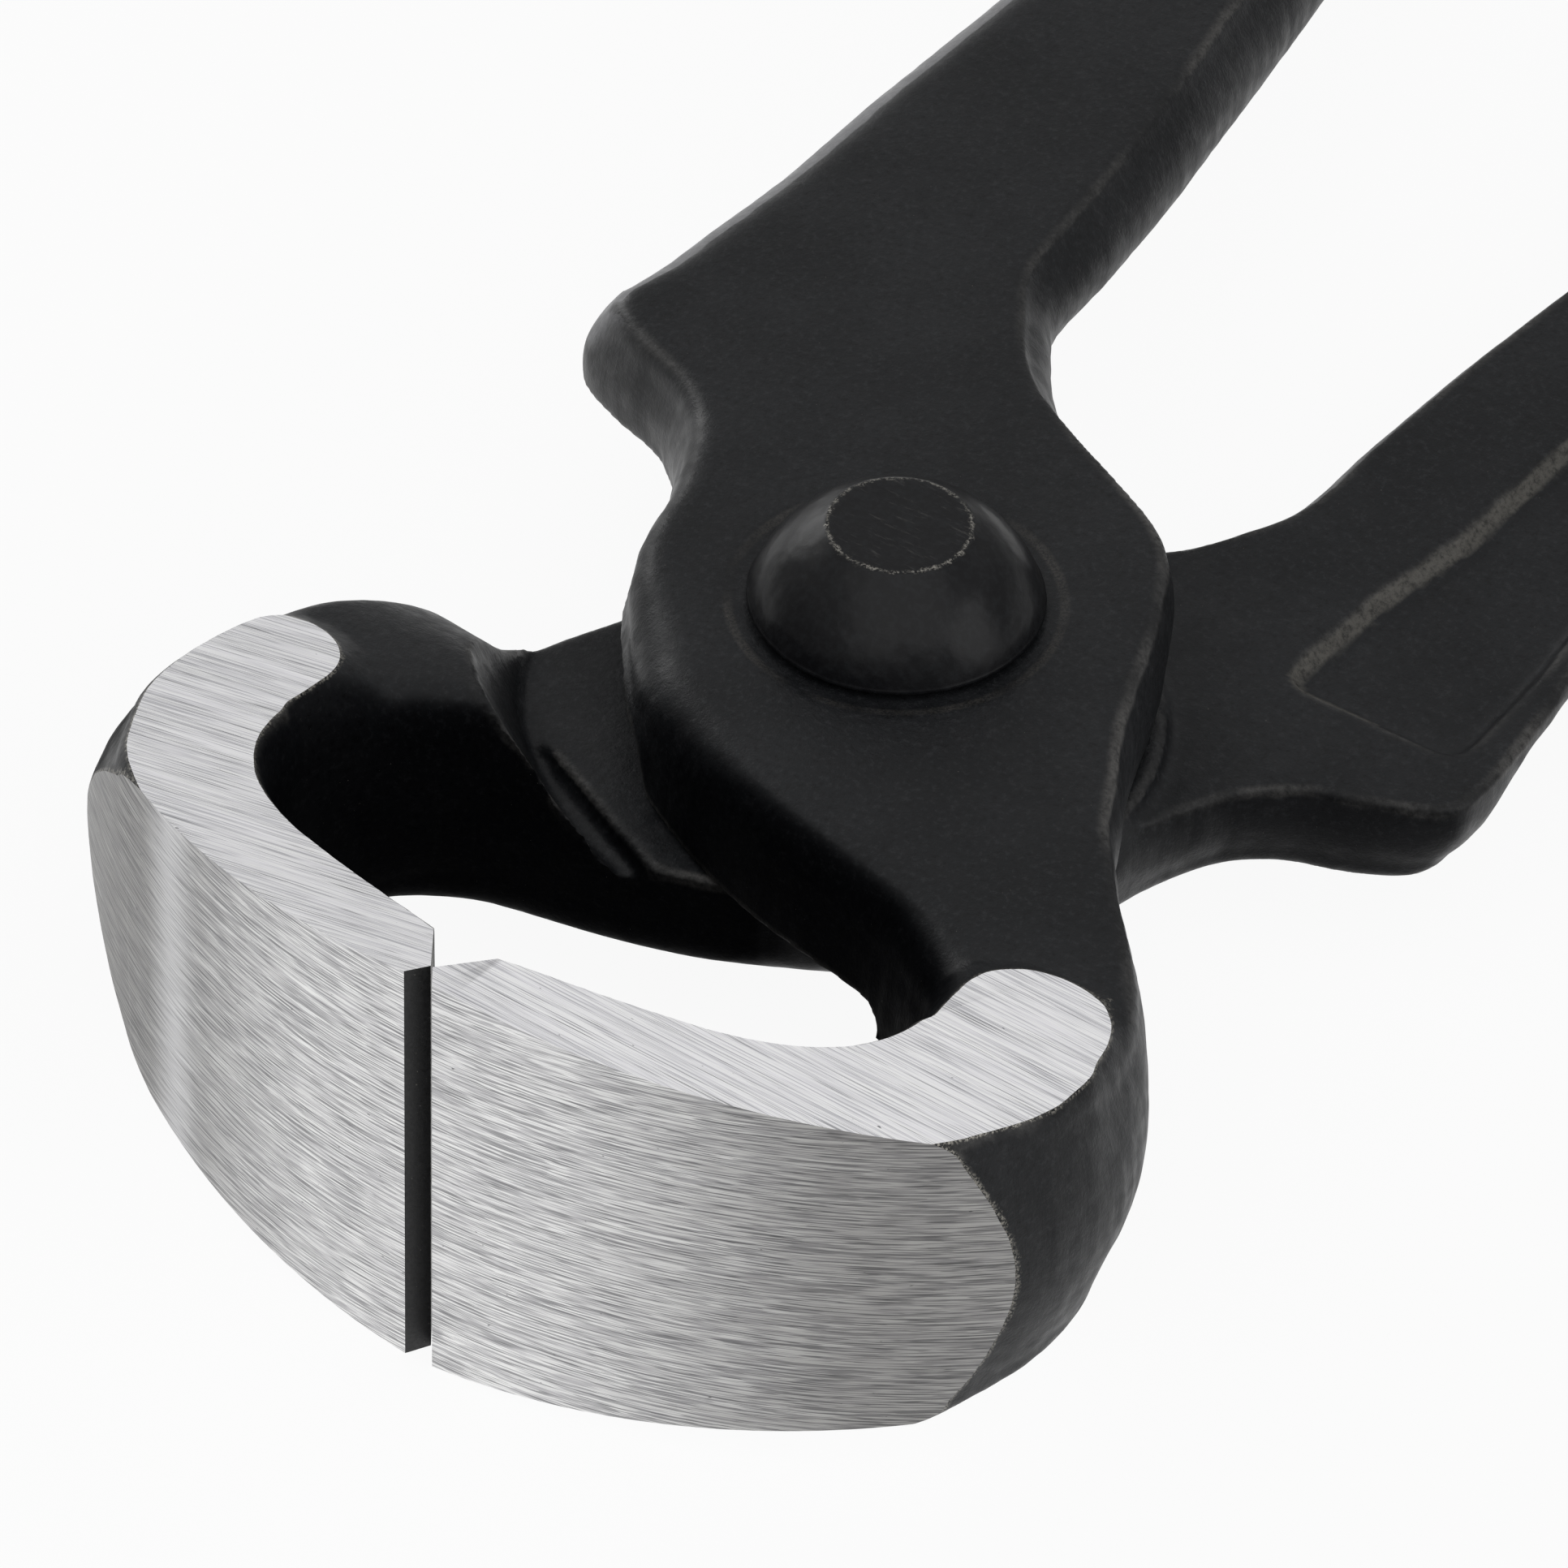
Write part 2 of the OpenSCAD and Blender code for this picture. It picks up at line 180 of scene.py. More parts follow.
# Columns of a station
THROAT_X, THROAT_Y, FAR_X, FAR_Y, CROWN, DEPTH, SIZE, OUTER_DEPTH = range(8)


def mix(a, b, t):
    return a * (1 - t) + b * t


def eased(t):
    t = np.clip(t, 0, 1)
    return t * t * (3 - 2 * t)


def rises(value, start, reach):
    """Zero up to the start, and one from a reach further on."""
    return eased((value - start) / reach)


def falls(value, end, reach):
    """One up to a reach before the end, and zero from there on."""
    return eased((end - value) / reach)


def along_handle(y, shares):
    """Rises from zero to one between two shares of the handle's length."""
    return rises(y / HANDLE_LENGTH, shares[0], shares[1] - shares[0])


def ground_height(x, y):
    return EDGE_HALF - GROUND_INSET - SIDE_FALL * x - BACK_FALL * (y + EDGE_REACH)


def face_height(y):
    return LAP_RELIEF - FACE_FALL * np.maximum(0, y - FACE_START)


def outer_height(y):
    return mix(PLATE, HANDLE_HALF, along_handle(y, THINNING))


def inner_height(y):
    grip = np.maximum(-HANDLE_HALF, face_height(y) - ROUGH * LAP_RELIEF)
    return np.where(y < JOINT_RADIUS / 2, -ROUGH * LAP_RELIEF, grip)


def corner_radius(y):
    return mix(EDGE_RADIUS, GRIP_RADIUS, along_handle(y, ROUNDING))


def handle_share(y, start, reach):
    """Rises to one where the handle starts, and fades away along the grip."""
    return rises(y, start, reach) * falls(y, HANDLE_FORM_END, HANDLE_FORM_FADE)


def side_radius(y, side, up):
    """Edge radius on one side. The neck is rounder beside the throat, the handle's outer side is round
    at the top and crisp at the lap, and its side beside the gap is crisp."""
    if side > 0:
        return corner_radius(y) - GAP_CRISP * rises(y, -20, 8) * falls(y, GAP_CRISP_END, GAP_FADE)
    neck = NECK_EXTRA * falls(y, 2, 8) * rises(y, -24, 5)
    if up > 0:
        return corner_radius(y) + neck + OUTER_EXTRA * handle_share(y, ROUND_START, 5)
    return corner_radius(y) + neck - LAP_CRISP * handle_share(y, 3, 8)


def gap_swell(y):
    """The handle's wall beside the gap stands out along its middle."""
    return GAP_SWELL * rises(y, 8, 8) * falls(y, HANDLE_FORM_END, GAP_FADE)


def lobe_inside(x, y):
    """How far a place lies inside the round end of the ground side face, below zero outside it."""
    inside = LOBE_RADIUS - np.hypot(x - LOBE_X, np.maximum(0, y - LOBE_Y))
    below = np.where(x > LOBE_X, 0.9 * np.maximum(0, LOBE_Y - y), 3 * np.maximum(0, LOBE_Y - 3 - y))
    return inside + below


def stations(bulk):
    """All stations from the handle's end to the cutting edge, one row each."""
    rows = []
    offset = HANDLE_SPAN / 2 - HANDLE_WIDTH / 2

    def grip(y, centre, width, size):
        rows.append([-centre - width / 2, y, -centre + width / 2, y, 0, 0, size, 0])

    end_round = END_ROUND_SHARE * HANDLE_WIDTH
    for turn in END_TURNS:
        t = math.radians(turn)
        y = HANDLE_LENGTH - end_round * (1 - math.sin(t))
        grip(y, END_CENTRE_SHARE * offset, GRIP_SHARES[0][2] * HANDLE_WIDTH, math.cos(t))
    for along, centre, width in GRIP_SHARES:
        grip(along * HANDLE_LENGTH, centre * offset, width * HANDLE_WIDTH, 1)
    for i, shares in enumerate(JOINT_SHARES):
        rows.append([s * JOINT_RADIUS for s in shares] + [0, 0 if i < DEEP_STATION else 1, 1, 0])
    for (tx, ty, ox, oy, crown, outer), weight in zip(JAW_SHARES, BULK_SHARES):
        x, y = ox * HEAD_HALF, oy * EDGE_REACH
        grow = 1 + weight * bulk / math.hypot(x, y)
        rows.append([tx * HEAD_HALF, ty * EDGE_REACH, x * grow, y * grow, crown, 1, 1, outer])
    return np.array(rows, float)


def smooth_rungs(rows, step):
    """A curve through the rows, cut into rungs about a step apart."""
    rungs = []
    last = len(rows) - 1
    for i in range(last):
        a, b, c, d = rows[max(0, i - 1)], rows[i], rows[i + 1], rows[min(last, i + 2)]
        reach = max(np.hypot(*(c - b)[:2]), np.hypot(*(c - b)[2:4]))
        count = max(1, round(reach / step))
        t = (np.arange(count) / count)[:, None]
        rungs.append(b + 0.5 * t * (c - a + t * (2 * a - 5 * b + 4 * c - d + t * (3 * (b - c) + d - a))))
    rungs.append(rows[last:])
    return np.vstack(rungs)


def heights(x, y, rung):
    """Highest and lowest point of the raw forging over a place of one rung."""
    crown = np.clip(rung[:, CROWN], 0, 1)
    depth = np.clip(rung[:, DEPTH], 0, 1)
    width = np.hypot(rung[:, FAR_X] - rung[:, THROAT_X], rung[:, FAR_Y] - rung[:, THROAT_Y])
    across = np.clip(np.hypot(x - rung[:, THROAT_X], y - rung[:, THROAT_Y]) / width, 0, 1)
    jaw = ground_height(x, y) + GROUND_STOCK
    lobe = ground_height(x, y) + np.clip(LOBE_FALL * lobe_inside(x, y), -3, GROUND_STOCK)
    shaped = falls(y, -14, 4)
    deep = mix(mix(PLATE, jaw, crown), np.maximum(lobe, PLATE), shaped)
    deep = deep * mix(1, rung[:, OUTER_DEPTH], across * across)
    neck = outer_height(y)
    top = mix(neck, np.maximum(lobe, neck), shaped)
    foot = mix(inner_height(y), -deep, depth)
    middle, reach = (top + foot) / 2, (top - foot) / 2 * rung[:, SIZE]
    return middle + reach, middle - reach


def ring_columns(rung, outer_swell):
    """The ring of points round every rung, as a list of (count, 3) columns."""
    columns = []
    throat, outer = rung[:, 0:2], rung[:, 2:4]
    centre = (throat + outer) / 2
    width = np.linalg.norm(outer - throat, axis=1)
    along = (outer - throat) / width[:, None]
    size, crown = rung[:, SIZE], np.clip(rung[:, CROWN], 0, 1)
    wide = gap_swell(centre[:, 1]) * size
    centre = centre + along * (wide / 2)[:, None]
    y = centre[:, 1]
    half = (width + wide) / 2 * size
    swells = {-1: mix(WALL_SWELL, THROAT_SWELL, crown) * size,
              1: mix(WALL_SWELL, outer_swell, crown) * size + wide}
    draft = mix(NOTCH_DRAFT, OUTER_DRAFT, rises(y, 12, 3)) * handle_share(y, 3, 8) * size
    leans = {-1: draft, 1: np.zeros(len(rung))}

    def place(u):
        return centre + along * u[:, None]

    def corner(side, up):
        return np.minimum(side_radius(y, side, up) * size, half - swells[side])

    for side, up in ((-1, 1), (1, 1), (1, -1), (-1, -1)):
        swell = swells[side]
        radius = corner(side, up)
        turns = np.radians(np.linspace(0, 90, CORNER_POINTS))
        if side * up < 0:
            turns = turns[::-1]
        for turn in turns:
            lean = leans[side] if up > 0 else 0
            p = place(side * (half - lean - swell - radius * (1 - math.sin(turn))))
            high, low = heights(p[:, 0], p[:, 1], rung)
            drop = radius * (1 - math.cos(turn))
            columns.append(np.column_stack([p, high - drop if up > 0 else low + drop]))
        if side * up > 0:
            for share in np.linspace(0.85, -0.85, FACE_POINTS) * side:
                p = place(side * (half - leans[side] * (1 + share) / 2 - swell * share * share))
                high, low = heights(p[:, 0], p[:, 1], rung)
                under = low + side_radius(p[:, 1], side, -1) * size
                over = high - side_radius(p[:, 1], side, 1) * size
                columns.append(np.column_stack([p, mix(under, over, (1 + share) / 2)]))
        else:
            left, right = (half - swells[s] - corner(s, up) for s in (-1, 1))
            for share in np.linspace(-0.8, 0.8, FACE_POINTS) * up:
                p = place(mix(-left, right, (1 + share) / 2))
                high, low = heights(p[:, 0], p[:, 1], rung)
                columns.append(np.column_stack([p, high if up > 0 else low]))
    return columns


def new_object(name, vertices, faces):
    """A mesh object from millimetres over the lap plane."""
    mesh = bpy.data.meshes.new(name)
    lifted = np.asarray(vertices, float) + (0, 0, LAP)
    mesh.from_pydata((lifted * MM).tolist(), [], faces)
    outward = bmesh.new()
    outward.from_mesh(mesh)
    bmesh.ops.recalc_face_normals(outward, faces=outward.faces)
    outward.to_mesh(mesh)
    outward.free()
    obj = bpy.data.objects.new(name, mesh)
    bpy.context.scene.collection.objects.link(obj)
    return obj


def forged_blank(name, bulk, outer_swell):
    """The raw forging, lofted through its stations."""
    columns = ring_columns(smooth_rungs(stations(bulk), RUNG_STEP), outer_swell)
    points = np.stack(columns, axis=1)
    rows, count = points.shape[:2]
    faces = []
    for i in range(rows - 1):
        for j in range(count):
            a, b = i * count + j, i * count + (j + 1) % count
            faces.append((a, b, b + count, a + count))
    faces.append(tuple(range(count - 1, -1, -1)))
    faces.append(tuple(range((rows - 1) * count, rows * count)))
    return new_object(name, points.reshape(-1, 3), faces)


def prism(name, outline, low, high):
    """An upright prism over an outline that runs anticlockwise."""
    n = len(outline)
    points = [(x, y, low) for x, y in outline] + [(x, y, high) for x, y in outline]
    faces = [tuple(range(n - 1, -1, -1)), tuple(range(n, 2 * n))]
    faces += [(i, (i + 1) % n, n + (i + 1) % n, n + i) for i in range(n)]
    return new_object(name, points, faces)


def cone(name, low_radius, high_radius, low, high, segments=360):
    """A cone or cylinder round the joint's axis."""
    turns = np.arange(segments) * 2 * math.pi / segments
    rings = [(r * math.cos(t), r * math.sin(t), z)
             for r, z in ((low_radius, low), (high_radius, high)) for t in turns]
    faces = [tuple(range(segments - 1, -1, -1)), tuple(range(segments, 2 * segments))]
    faces += [(i, (i + 1) % segments, segments + (i + 1) % segments, segments + i)
              for i in range(segments)]
    return new_object(name, rings, faces)


def combine(obj, other, operation):
    """Applies one boolean and removes the other object."""
    modifier = obj.modifiers.new("cut", "BOOLEAN")
    modifier.operation = operation
    modifier.solver = "MANIFOLD"
    modifier.object = other
    apply_modifiers(obj)
    bpy.data.objects.remove(other)
    return obj


def apply_modifiers(obj):
    graph = bpy.context.evaluated_depsgraph_get()
    mesh = bpy.data.meshes.new_from_object(obj.evaluated_get(graph))
    old = obj.data
    obj.modifiers.clear()
    obj.data = mesh
    bpy.data.meshes.remove(old)


def half_plane(turn):
    """The corners of a large square on the left of a line through the axis."""
    c, s = math.cos(turn), math.sin(turn)
    corners = ((-FAR * 4, 0), (FAR * 4, 0), (FAR * 4, FAR * 5), (-FAR * 4, FAR * 5))
    return [(x * c - y * s, x * s + y * c) for x, y in corners]


def under_face(name):
    """Everything on the inner side of the relieved face."""
    reach = HANDLE_LENGTH + FAR
    side = [(-FAR, LAP_RELIEF), (FACE_START, LAP_RELIEF), (reach, float(face_height(reach)))]
    outline = side + [(reach, -FAR), (-FAR, -FAR)]
    n = len(outline)
    points = [(-FAR, y, z) for y, z in outline] + [(FAR, y, z) for y, z in outline]
    faces = [tuple(range(n)), tuple(range(2 * n - 1, n - 1, -1))]
    faces += [(i, n + i, n + (i + 1) % n, (i + 1) % n) for i in range(n)]
    return new_object(name, points, faces)


def cut_lap(lever, shoulder):
    """The lapped face, the relief round it and the jaw's shoulder, whose foot lies at a radius."""
    tool = combine(under_face("lap"), prism("side", half_plane(SIDE_TURN), -FAR, FAR), "INTERSECT")
    combine(tool, cone("boss", LAP_RADIUS, LAP_RADIUS, LAP_CLEARANCE / 2, FAR), "DIFFERENCE")
    combine(lever, tool, "DIFFERENCE")
    low = 2 * EDGE_HALF
    tool = cone("shoulder", shoulder + SHOULDER_DRAFT * low,
                shoulder - SHOULDER_DRAFT * LAP_RELIEF, -low, LAP_RELIEF)
    combine(tool, prism("side", half_plane(SIDE_TURN + math.pi), -FAR, FAR), "INTERSECT")
    out = shoulder - SHOULDER_RADIUS
    (ax, ay), (bx, by) = GROOVE_LINE
    boss = [(ax + out, ay - out), (ax + 3 * (ax - bx) + out, ay + 3 * (ay - by) - out),
            (FAR, FAR), (-FAR, FAR),
            (bx - 3 * (ax - bx) + out, by - 3 * (ay - by) - out), (bx + out, by - out)]
    combine(tool, prism("boss", boss, LAP_CLEARANCE / 2, FAR), "DIFFERENCE")
    combine(lever, tool, "DIFFERENCE")


def cut_bore(lever):
    combine(lever, cone("bore", BORE_RADIUS, BORE_RADIUS, -FAR, FAR), "DIFFERENCE")
    combine(lever, cone("spot", SPOT_RADIUS, SPOT_RADIUS, PLATE - SPOT_DEPTH, FAR), "DIFFERENCE")


POCKET_DEPTH = 0.8
POCKET_SLOPE = 0.55
POCKET_INNER_SLOPE = 0.7
# The pocket's rims in plan: distance along the handle, then the rim nearer the gap and the outer rim
POCKET_RIMS = [(14.0, -14.0, -24.5), (22.3, -14.8, -24.7), (28.0, -16.1, -24.4), (56.6, -18.8, -22.9)]
POCKET_CORNER = 1.5
POCKET_RUNGS = 161


def cut_pocket(lever):
    """A shallow pocket with sloping walls in the inner face."""
    start, end = POCKET_RIMS[0][0], POCKET_RIMS[-1][0]
    ys = [r[0] for r in POCKET_RIMS]
    rows = []
    for t in np.linspace(0, 1, POCKET_RUNGS):
        y = mix(start, end, t)
        from_end = min(y - start, end - y)
        corner = max(0.0, POCKET_CORNER - from_end)
        tuck = POCKET_CORNER - math.sqrt(POCKET_CORNER ** 2 - corner ** 2)
        inner = np.interp(y, ys, [r[1] for r in POCKET_RIMS]) - tuck
        outer = np.interp(y, ys, [r[2] for r in POCKET_RIMS]) + tuck
        z = float(face_height(y))
        sink = POCKET_DEPTH * min(1.0, from_end / POCKET_SLOPE)
        share = sink / POCKET_DEPTH
        rows.append([(outer, y, z - 1), (outer, y, z), (outer + POCKET_SLOPE * share, y, z + sink),
                     (inner - POCKET_INNER_SLOPE * share, y, z + sink), (inner, y, z), (inner, y, z - 1)])
    n = len(rows[0])
    faces = [(i * n + j, (i + 1) * n + j, (i + 1) * n + (j + 1) % n, i * n + (j + 1) % n)
             for i in range(len(rows) - 1) for j in range(n)]
    faces += [tuple(range(n)), tuple(range(len(rows) * n - 1, (len(rows) - 1) * n - 1, -1))]
    combine(lever, new_object("pocket", [p for r in rows for p in r], faces), "DIFFERENCE")


def remesh(obj, voxel, smoothing):
    modifier = obj.modifiers.new("remesh", "REMESH")
    modifier.mode = "VOXEL"
    modifier.voxel_size = voxel * MM
    smooth = obj.modifiers.new("smooth", "SMOOTH")
    smooth.factor = 0.5
    smooth.iterations = smoothing
    apply_modifiers(obj)


def coordinates(mesh, attribute="co"):
    values = np.zeros(len(mesh.vertices) * 3)
    mesh.vertices.foreach_get(attribute, values)
    return values.reshape(-1, 3)


def scale_skin(obj, seed):
    """Forging scale: the skin sinks by soft hollows, fine grain and streaks down the walls."""
    mesh = obj.data
    places = coordinates(mesh)
    normals = coordinates(mesh, "normal")
    shift = Vector((seed * 31.7, seed * 17.3, seed * 5.1))
    sinks = np.empty(len(places))
    for i, (place, normal) in enumerate(zip(places / MM, normals)):
        p = Vector(place)
        wall = 1 - abs(normal[2])
        soft = noise.noise(p * 0.16 + shift)
        grain = noise.noise(p * 0.9 + shift)
        streak = noise.noise(Vector((p.x * 1.1, p.y * 1.1, p.z * 0.22)) + shift)
        sinks[i] = HOLLOW_SINK * (1 + soft) + GRAIN_SINK * (1 + grain) + STREAK_SINK * wall * (1 + streak)
    places -= normals * (sinks * MM)[:, None]
    mesh.vertices.foreach_set("co", places.ravel())
    mesh.update()


def plane_cutter(name, sign):
    """What grinding takes off one side of a jaw. Sign is +1 for the outer side, -1 for the inner."""
    outline = [(-FAR, -FAR * 1.2), (FAR, -FAR * 1.2), (FAR, -GROUND_END), (-FAR, -GROUND_END)]
    near = [(x, y, sign * ground_height(x, y)) for x, y in outline]
    away = [(x, y, sign * FAR) for x, y in outline]
    faces = [(0, 1, 2, 3), (7, 6, 5, 4), (0, 4, 5, 1), (1, 5, 6, 2), (2, 6, 7, 3), (3, 7, 4, 0)]
    if sign > 0:
        faces = [f[::-1] for f in faces]
    return new_object(name, near + away, faces)


def grind(lever, shift):
    """The crisp faces that are ground on the forging."""
    for sign in (1, -1):
        combine(lever, plane_cutter("side", sign), "DIFFERENCE")
    front = prism("front", [(-FAR, -FAR * 1.2), (FAR, -FAR * 1.2), (FAR, -1), (-FAR, -1)], -FAR, FAR)
    combine(front, cone("round", FRONT_RADIUS, FRONT_RADIUS, -FAR * 2, FAR * 2, 720), "DIFFERENCE")
    combine(lever, front, "DIFFERENCE")
    half_gap = EDGE_GAP / 2 + shift
    closing = [(half_gap - FAR, -FAR * 1.2), (half_gap, -FAR * 1.2), (half_gap, CLOSING_END),
               (half_gap - FAR, CLOSING_END)]
    combine(lever, prism("closing", closing, -FAR, FAR), "DIFFERENCE")
    bevels = [(half_gap, -EDGE_REACH), (half_gap - 1, -EDGE_REACH),
              (half_gap - 1, -EDGE_REACH - 2 * FRONT_DEPTH),
              (half_gap + 2 * FRONT_BEVEL, -EDGE_REACH - 2 * FRONT_DEPTH)]
    combine(lever, prism("front_bevel", bevels, -FAR, FAR), "DIFFERENCE")
    bevels = [(half_gap, -EDGE_REACH), (half_gap + 2 * REAR_BEVEL, -EDGE_REACH + 2 * REAR_DEPTH),
              (half_gap - 1, -EDGE_REACH + 2 * REAR_DEPTH), (half_gap - 1, -EDGE_REACH)]
    combine(lever, prism("rear_bevel", bevels, -FAR, FAR), "DIFFERENCE")


def make_lever(name, seed, form, finish_and_light):
    """One forging, cut, ground and finished. Both are made as the front lever."""
    lever = forged_blank(name, form["bulk"], form["swell"])
    cut_lap(lever, form["shoulder"])
    cut_pocket(lever)
    cut_bore(lever)
    remesh(lever, VOXEL, SMOOTHING_PASSES)
    scale_skin(lever, seed)
    grind(lever, form["shift"])
    lever.data.materials.clear()
    classify(lever, form["shift"])
    mark_wear_and_painted_light(lever, finish_and_light)
    dress(lever, seed, finish_and_light)
    return lever


def turn_over(obj):
    """Half a turn about the tool's long axis, through the lap plane."""
    turn = Matrix.Translation((0, 0, LAP * MM)) @ Matrix.Rotation(math.pi, 4, "Y")
    obj.data.transform(turn @ Matrix.Translation((0, 0, -LAP * MM)))
    obj.data.update()


# Surface classes of a lever, in the order of its material slots
LACQUER, SIDE, FRONT, EDGE_WALL = range(4)
# How near a face has to lie to a flat ground surface, and to a round one
NEAR, NEAR_ROUND = 0.004, 0.01


def classify(lever, shift):
    """Gives each face its surface class, and sharp edges where two classes meet."""
    mesh = lever.data
    kinds = np.full(len(mesh.polygons), LACQUER)
    co = coordinates(mesh) / MM - (0, 0, LAP)
    for face in mesh.polygons:
        p = co[face.vertices]
        x, y, z = p[:, 0] - shift, p[:, 1], p[:, 2]
        level = abs(face.normal[2])
        if y.max() > -GROUND_END + NEAR:
            continue
        if np.all(np.abs(np.hypot(p[:, 0], y) - FRONT_RADIUS) < NEAR_ROUND) and level < 0.3:
            kinds[face.index] = FRONT
        elif np.all(np.abs(np.abs(z) - ground_height(p[:, 0], y)) < NEAR) and level > 0.8:
            kinds[face.index] = SIDE
        elif np.all(np.abs(x - EDGE_GAP / 2) < NEAR):
            kinds[face.index] = EDGE_WALL
        elif x.max() < EDGE_GAP / 2 + REAR_BEVEL + NEAR and y.max() < -EDGE_REACH + REAR_DEPTH + NEAR:
            rear = (x - EDGE_GAP / 2) / REAR_BEVEL - (y + EDGE_REACH) / REAR_DEPTH
            if np.all(np.abs(rear) < NEAR_ROUND):
                kinds[face.index] = SIDE
            elif y.max() < -EDGE_REACH + NEAR:
                kinds[face.index] = EDGE_WALL
    mesh.polygons.foreach_set("material_index", kinds)
    mesh.polygons.foreach_set("use_smooth", np.ones(len(kinds), bool))
    sharp = np.zeros(len(mesh.edges), bool)
    first = {}
    for face in mesh.polygons:
        for loop in range(face.loop_start, face.loop_start + face.loop_total):
            edge = mesh.loops[loop].edge_index
            if edge not in first:
                first[edge] = face
                continue
            other = first[edge]
            turn = face.normal.dot(other.normal)
            sharp[edge] = kinds[face.index] != kinds[other.index] or turn < 0.5
    mesh.edges.foreach_set("use_edge_sharp", sharp)
    mesh.update()


THROAT_MIDDLE = (2.0, -27.0)
# Stands for a place with no ground face near it
NO_GROUND = 9.0


def standing_out(mesh, co, normals):
    """How much each vertex stands out from its neighbours, evened out a little."""
    ends = np.zeros(len(mesh.edges) * 2, int)
    mesh.edges.foreach_get("vertices", ends)
    a, b = ends.reshape(-1, 2).T
    length = np.linalg.norm(co[a] - co[b], axis=1)
    good = (length > 0.1) & (length < 1.0)
    a, b, length = a[good], b[good], length[good]
    away = (co[b] - co[a]) / (length * length)[:, None]
    bend = np.zeros(len(co))
    count = np.full(len(co), 1e-6)
    np.add.at(bend, a, -(away * normals[a]).sum(1))
    np.add.at(bend, b, (away * normals[b]).sum(1))
    np.add.at(count, a, 1)
    np.add.at(count, b, 1)
    bend /= count
    for _ in range(3):
        total, weight = bend.copy(), np.ones(len(co))
        np.add.at(total, a, bend[b])
        np.add.at(total, b, bend[a])
        np.add.at(weight, a, 1)
        np.add.at(weight, b, 1)
        bend = total / weight
    return bend


def painted_shade_or_sheen(co, normals, finish_and_light):
    """Painted shade for each place, which darkens the lacquer and lowers its specular level, or painted
    sheen where it is below zero.
    """
    x, y, z = co.T
    nx, ny, nz = normals.T
    # The throat's wall gets painted shade, darkest half way up
    away = np.hypot(x - THROAT_MIDDLE[0], y - THROAT_MIDDLE[1])
    facing = -(nx * (x - THROAT_MIDDLE[0]) + ny * (y - THROAT_MIDDLE[1])) / away
    shade = rises(facing, 0.25, 0.5) * falls(y, -8, 7) * falls(away, 22, 4)
    shade *= mix(0.4, 0.9, falls(np.abs(z), 11, 6))
    # Painted shade on the notch's wall, or painted sheen where its amount is below zero, painted sheen on
    # the handle's rounded outer rim, and painted shade on the jaw's back
    notch = falls(ny, -0.2, 0.4) * falls(x, -12, 3) * rises(y, -2, 4) * falls(y, 16, 4)
    shade += finish_and_light["notch"] * notch
    rim = falls(x, -19, 2) * rises(y, 9, 3) * falls(y, 75, 35)
    rim *= falls(nz, 0.99, 0.10) * rises(nz, 0.1, 0.3) * falls(nx, -0.04, 0.2)
    shade = mix(shade, -1.0, finish_and_light["rim"] * rim)
    back = rises(x, 23, 3) * falls(y, -16, 3) * rises(nx, 0.2, 0.4)
    shade += finish_and_light["back"] * back
    return np.clip(shade, -1, 0.9)


def mark_wear_and_painted_light(lever, finish_and_light):
    """Stores each vertex's place in the lever, how much it stands out, how near a ground face is,
    whether it lies on the pocket's slope, and how much painted shade or painted sheen it gets."""
    mesh = lever.data
    co = coordinates(mesh) / MM - (0, 0, LAP)
    normals = coordinates(mesh, "normal")
    x, y, z = co.T
    side_gap = np.abs(ground_height(x, y) - np.abs(z)) + NO_GROUND * (lobe_inside(x, y) < -0.7)
    gap = np.minimum(side_gap, np.abs(FRONT_RADIUS - np.hypot(x, y)))
    gap = np.where(y < -GROUND_END + 2, gap, NO_GROUND)
    steep = falls(np.abs(normals[:, 2]), 0.95, 0.15)
    over = z - face_height(y)
    on_rim = (np.abs(over - 0.4) < 0.35) * (x < -13.4) * (x > -19.5) * (y > 13)
    dust = steep * on_rim * falls(y, 56, 22)
    marks = {"bend": standing_out(mesh, co, normals), "gap": gap, "dust": dust,
             "shade": painted_shade_or_sheen(co, normals, finish_and_light)}
    for name, values in marks.items():
        mark = mesh.attributes.new(name, "FLOAT", "POINT")
        mark.data.foreach_set("value", values.astype(np.float32))
    place = mesh.attributes.new("place", "FLOAT_VECTOR", "POINT")
    place.data.foreach_set("vector", co.astype(np.float32).ravel())


# Rivet, in millimetres
HEAD_RADIUS = 7.45
HEAD_HEIGHT = 4.65
FLAT_RADIUS = 3.6
SEAT_RADIUS = 6.95
SEAT_HEIGHT = 0.3
HEAD_CHAMFER = 0.12
RIM_ROUND = 0.35
RIVET_SEGMENTS = 192
# How deep its hammer marks are, soft and fine
SOFT_MARK = 0.05
FINE_MARK = 0.018


def head_profile(foot):
    """Half outline of a rivet head from its seat up to the middle of its flat: radius and height."""
    drop = (HEAD_RADIUS ** 2 - FLAT_RADIUS ** 2 - HEAD_HEIGHT ** 2) / (2 * HEAD_HEIGHT)
    radius = math.hypot(HEAD_RADIUS, drop)
    low = foot + SEAT_HEIGHT
    points = [(SEAT_RADIUS, foot), (SEAT_RADIUS, low), (HEAD_RADIUS - HEAD_CHAMFER, low),
              (HEAD_RADIUS, low + HEAD_CHAMFER)]
    start = math.atan2(drop + HEAD_CHAMFER, HEAD_RADIUS)
    end = math.acos(FLAT_RADIUS / radius)
    for t in np.linspace(start, end, 48)[1:]:
        points.append((radius * math.cos(t), low - drop + radius * math.sin(t)))
    top = points[-1][1]
    rounded = [p for p in points if p[0] > FLAT_RADIUS + RIM_ROUND]
    for t in np.linspace(0.35, 1, 6):
        rounded.append((FLAT_RADIUS + RIM_ROUND * (1 - t), top - RIM_ROUND * 0.55 * (1 - t) ** 1.6))
    rounded += [(r, top) for r in (3.2, 2.6, 1.9, 1.1, 0.4)]
    return rounded, top


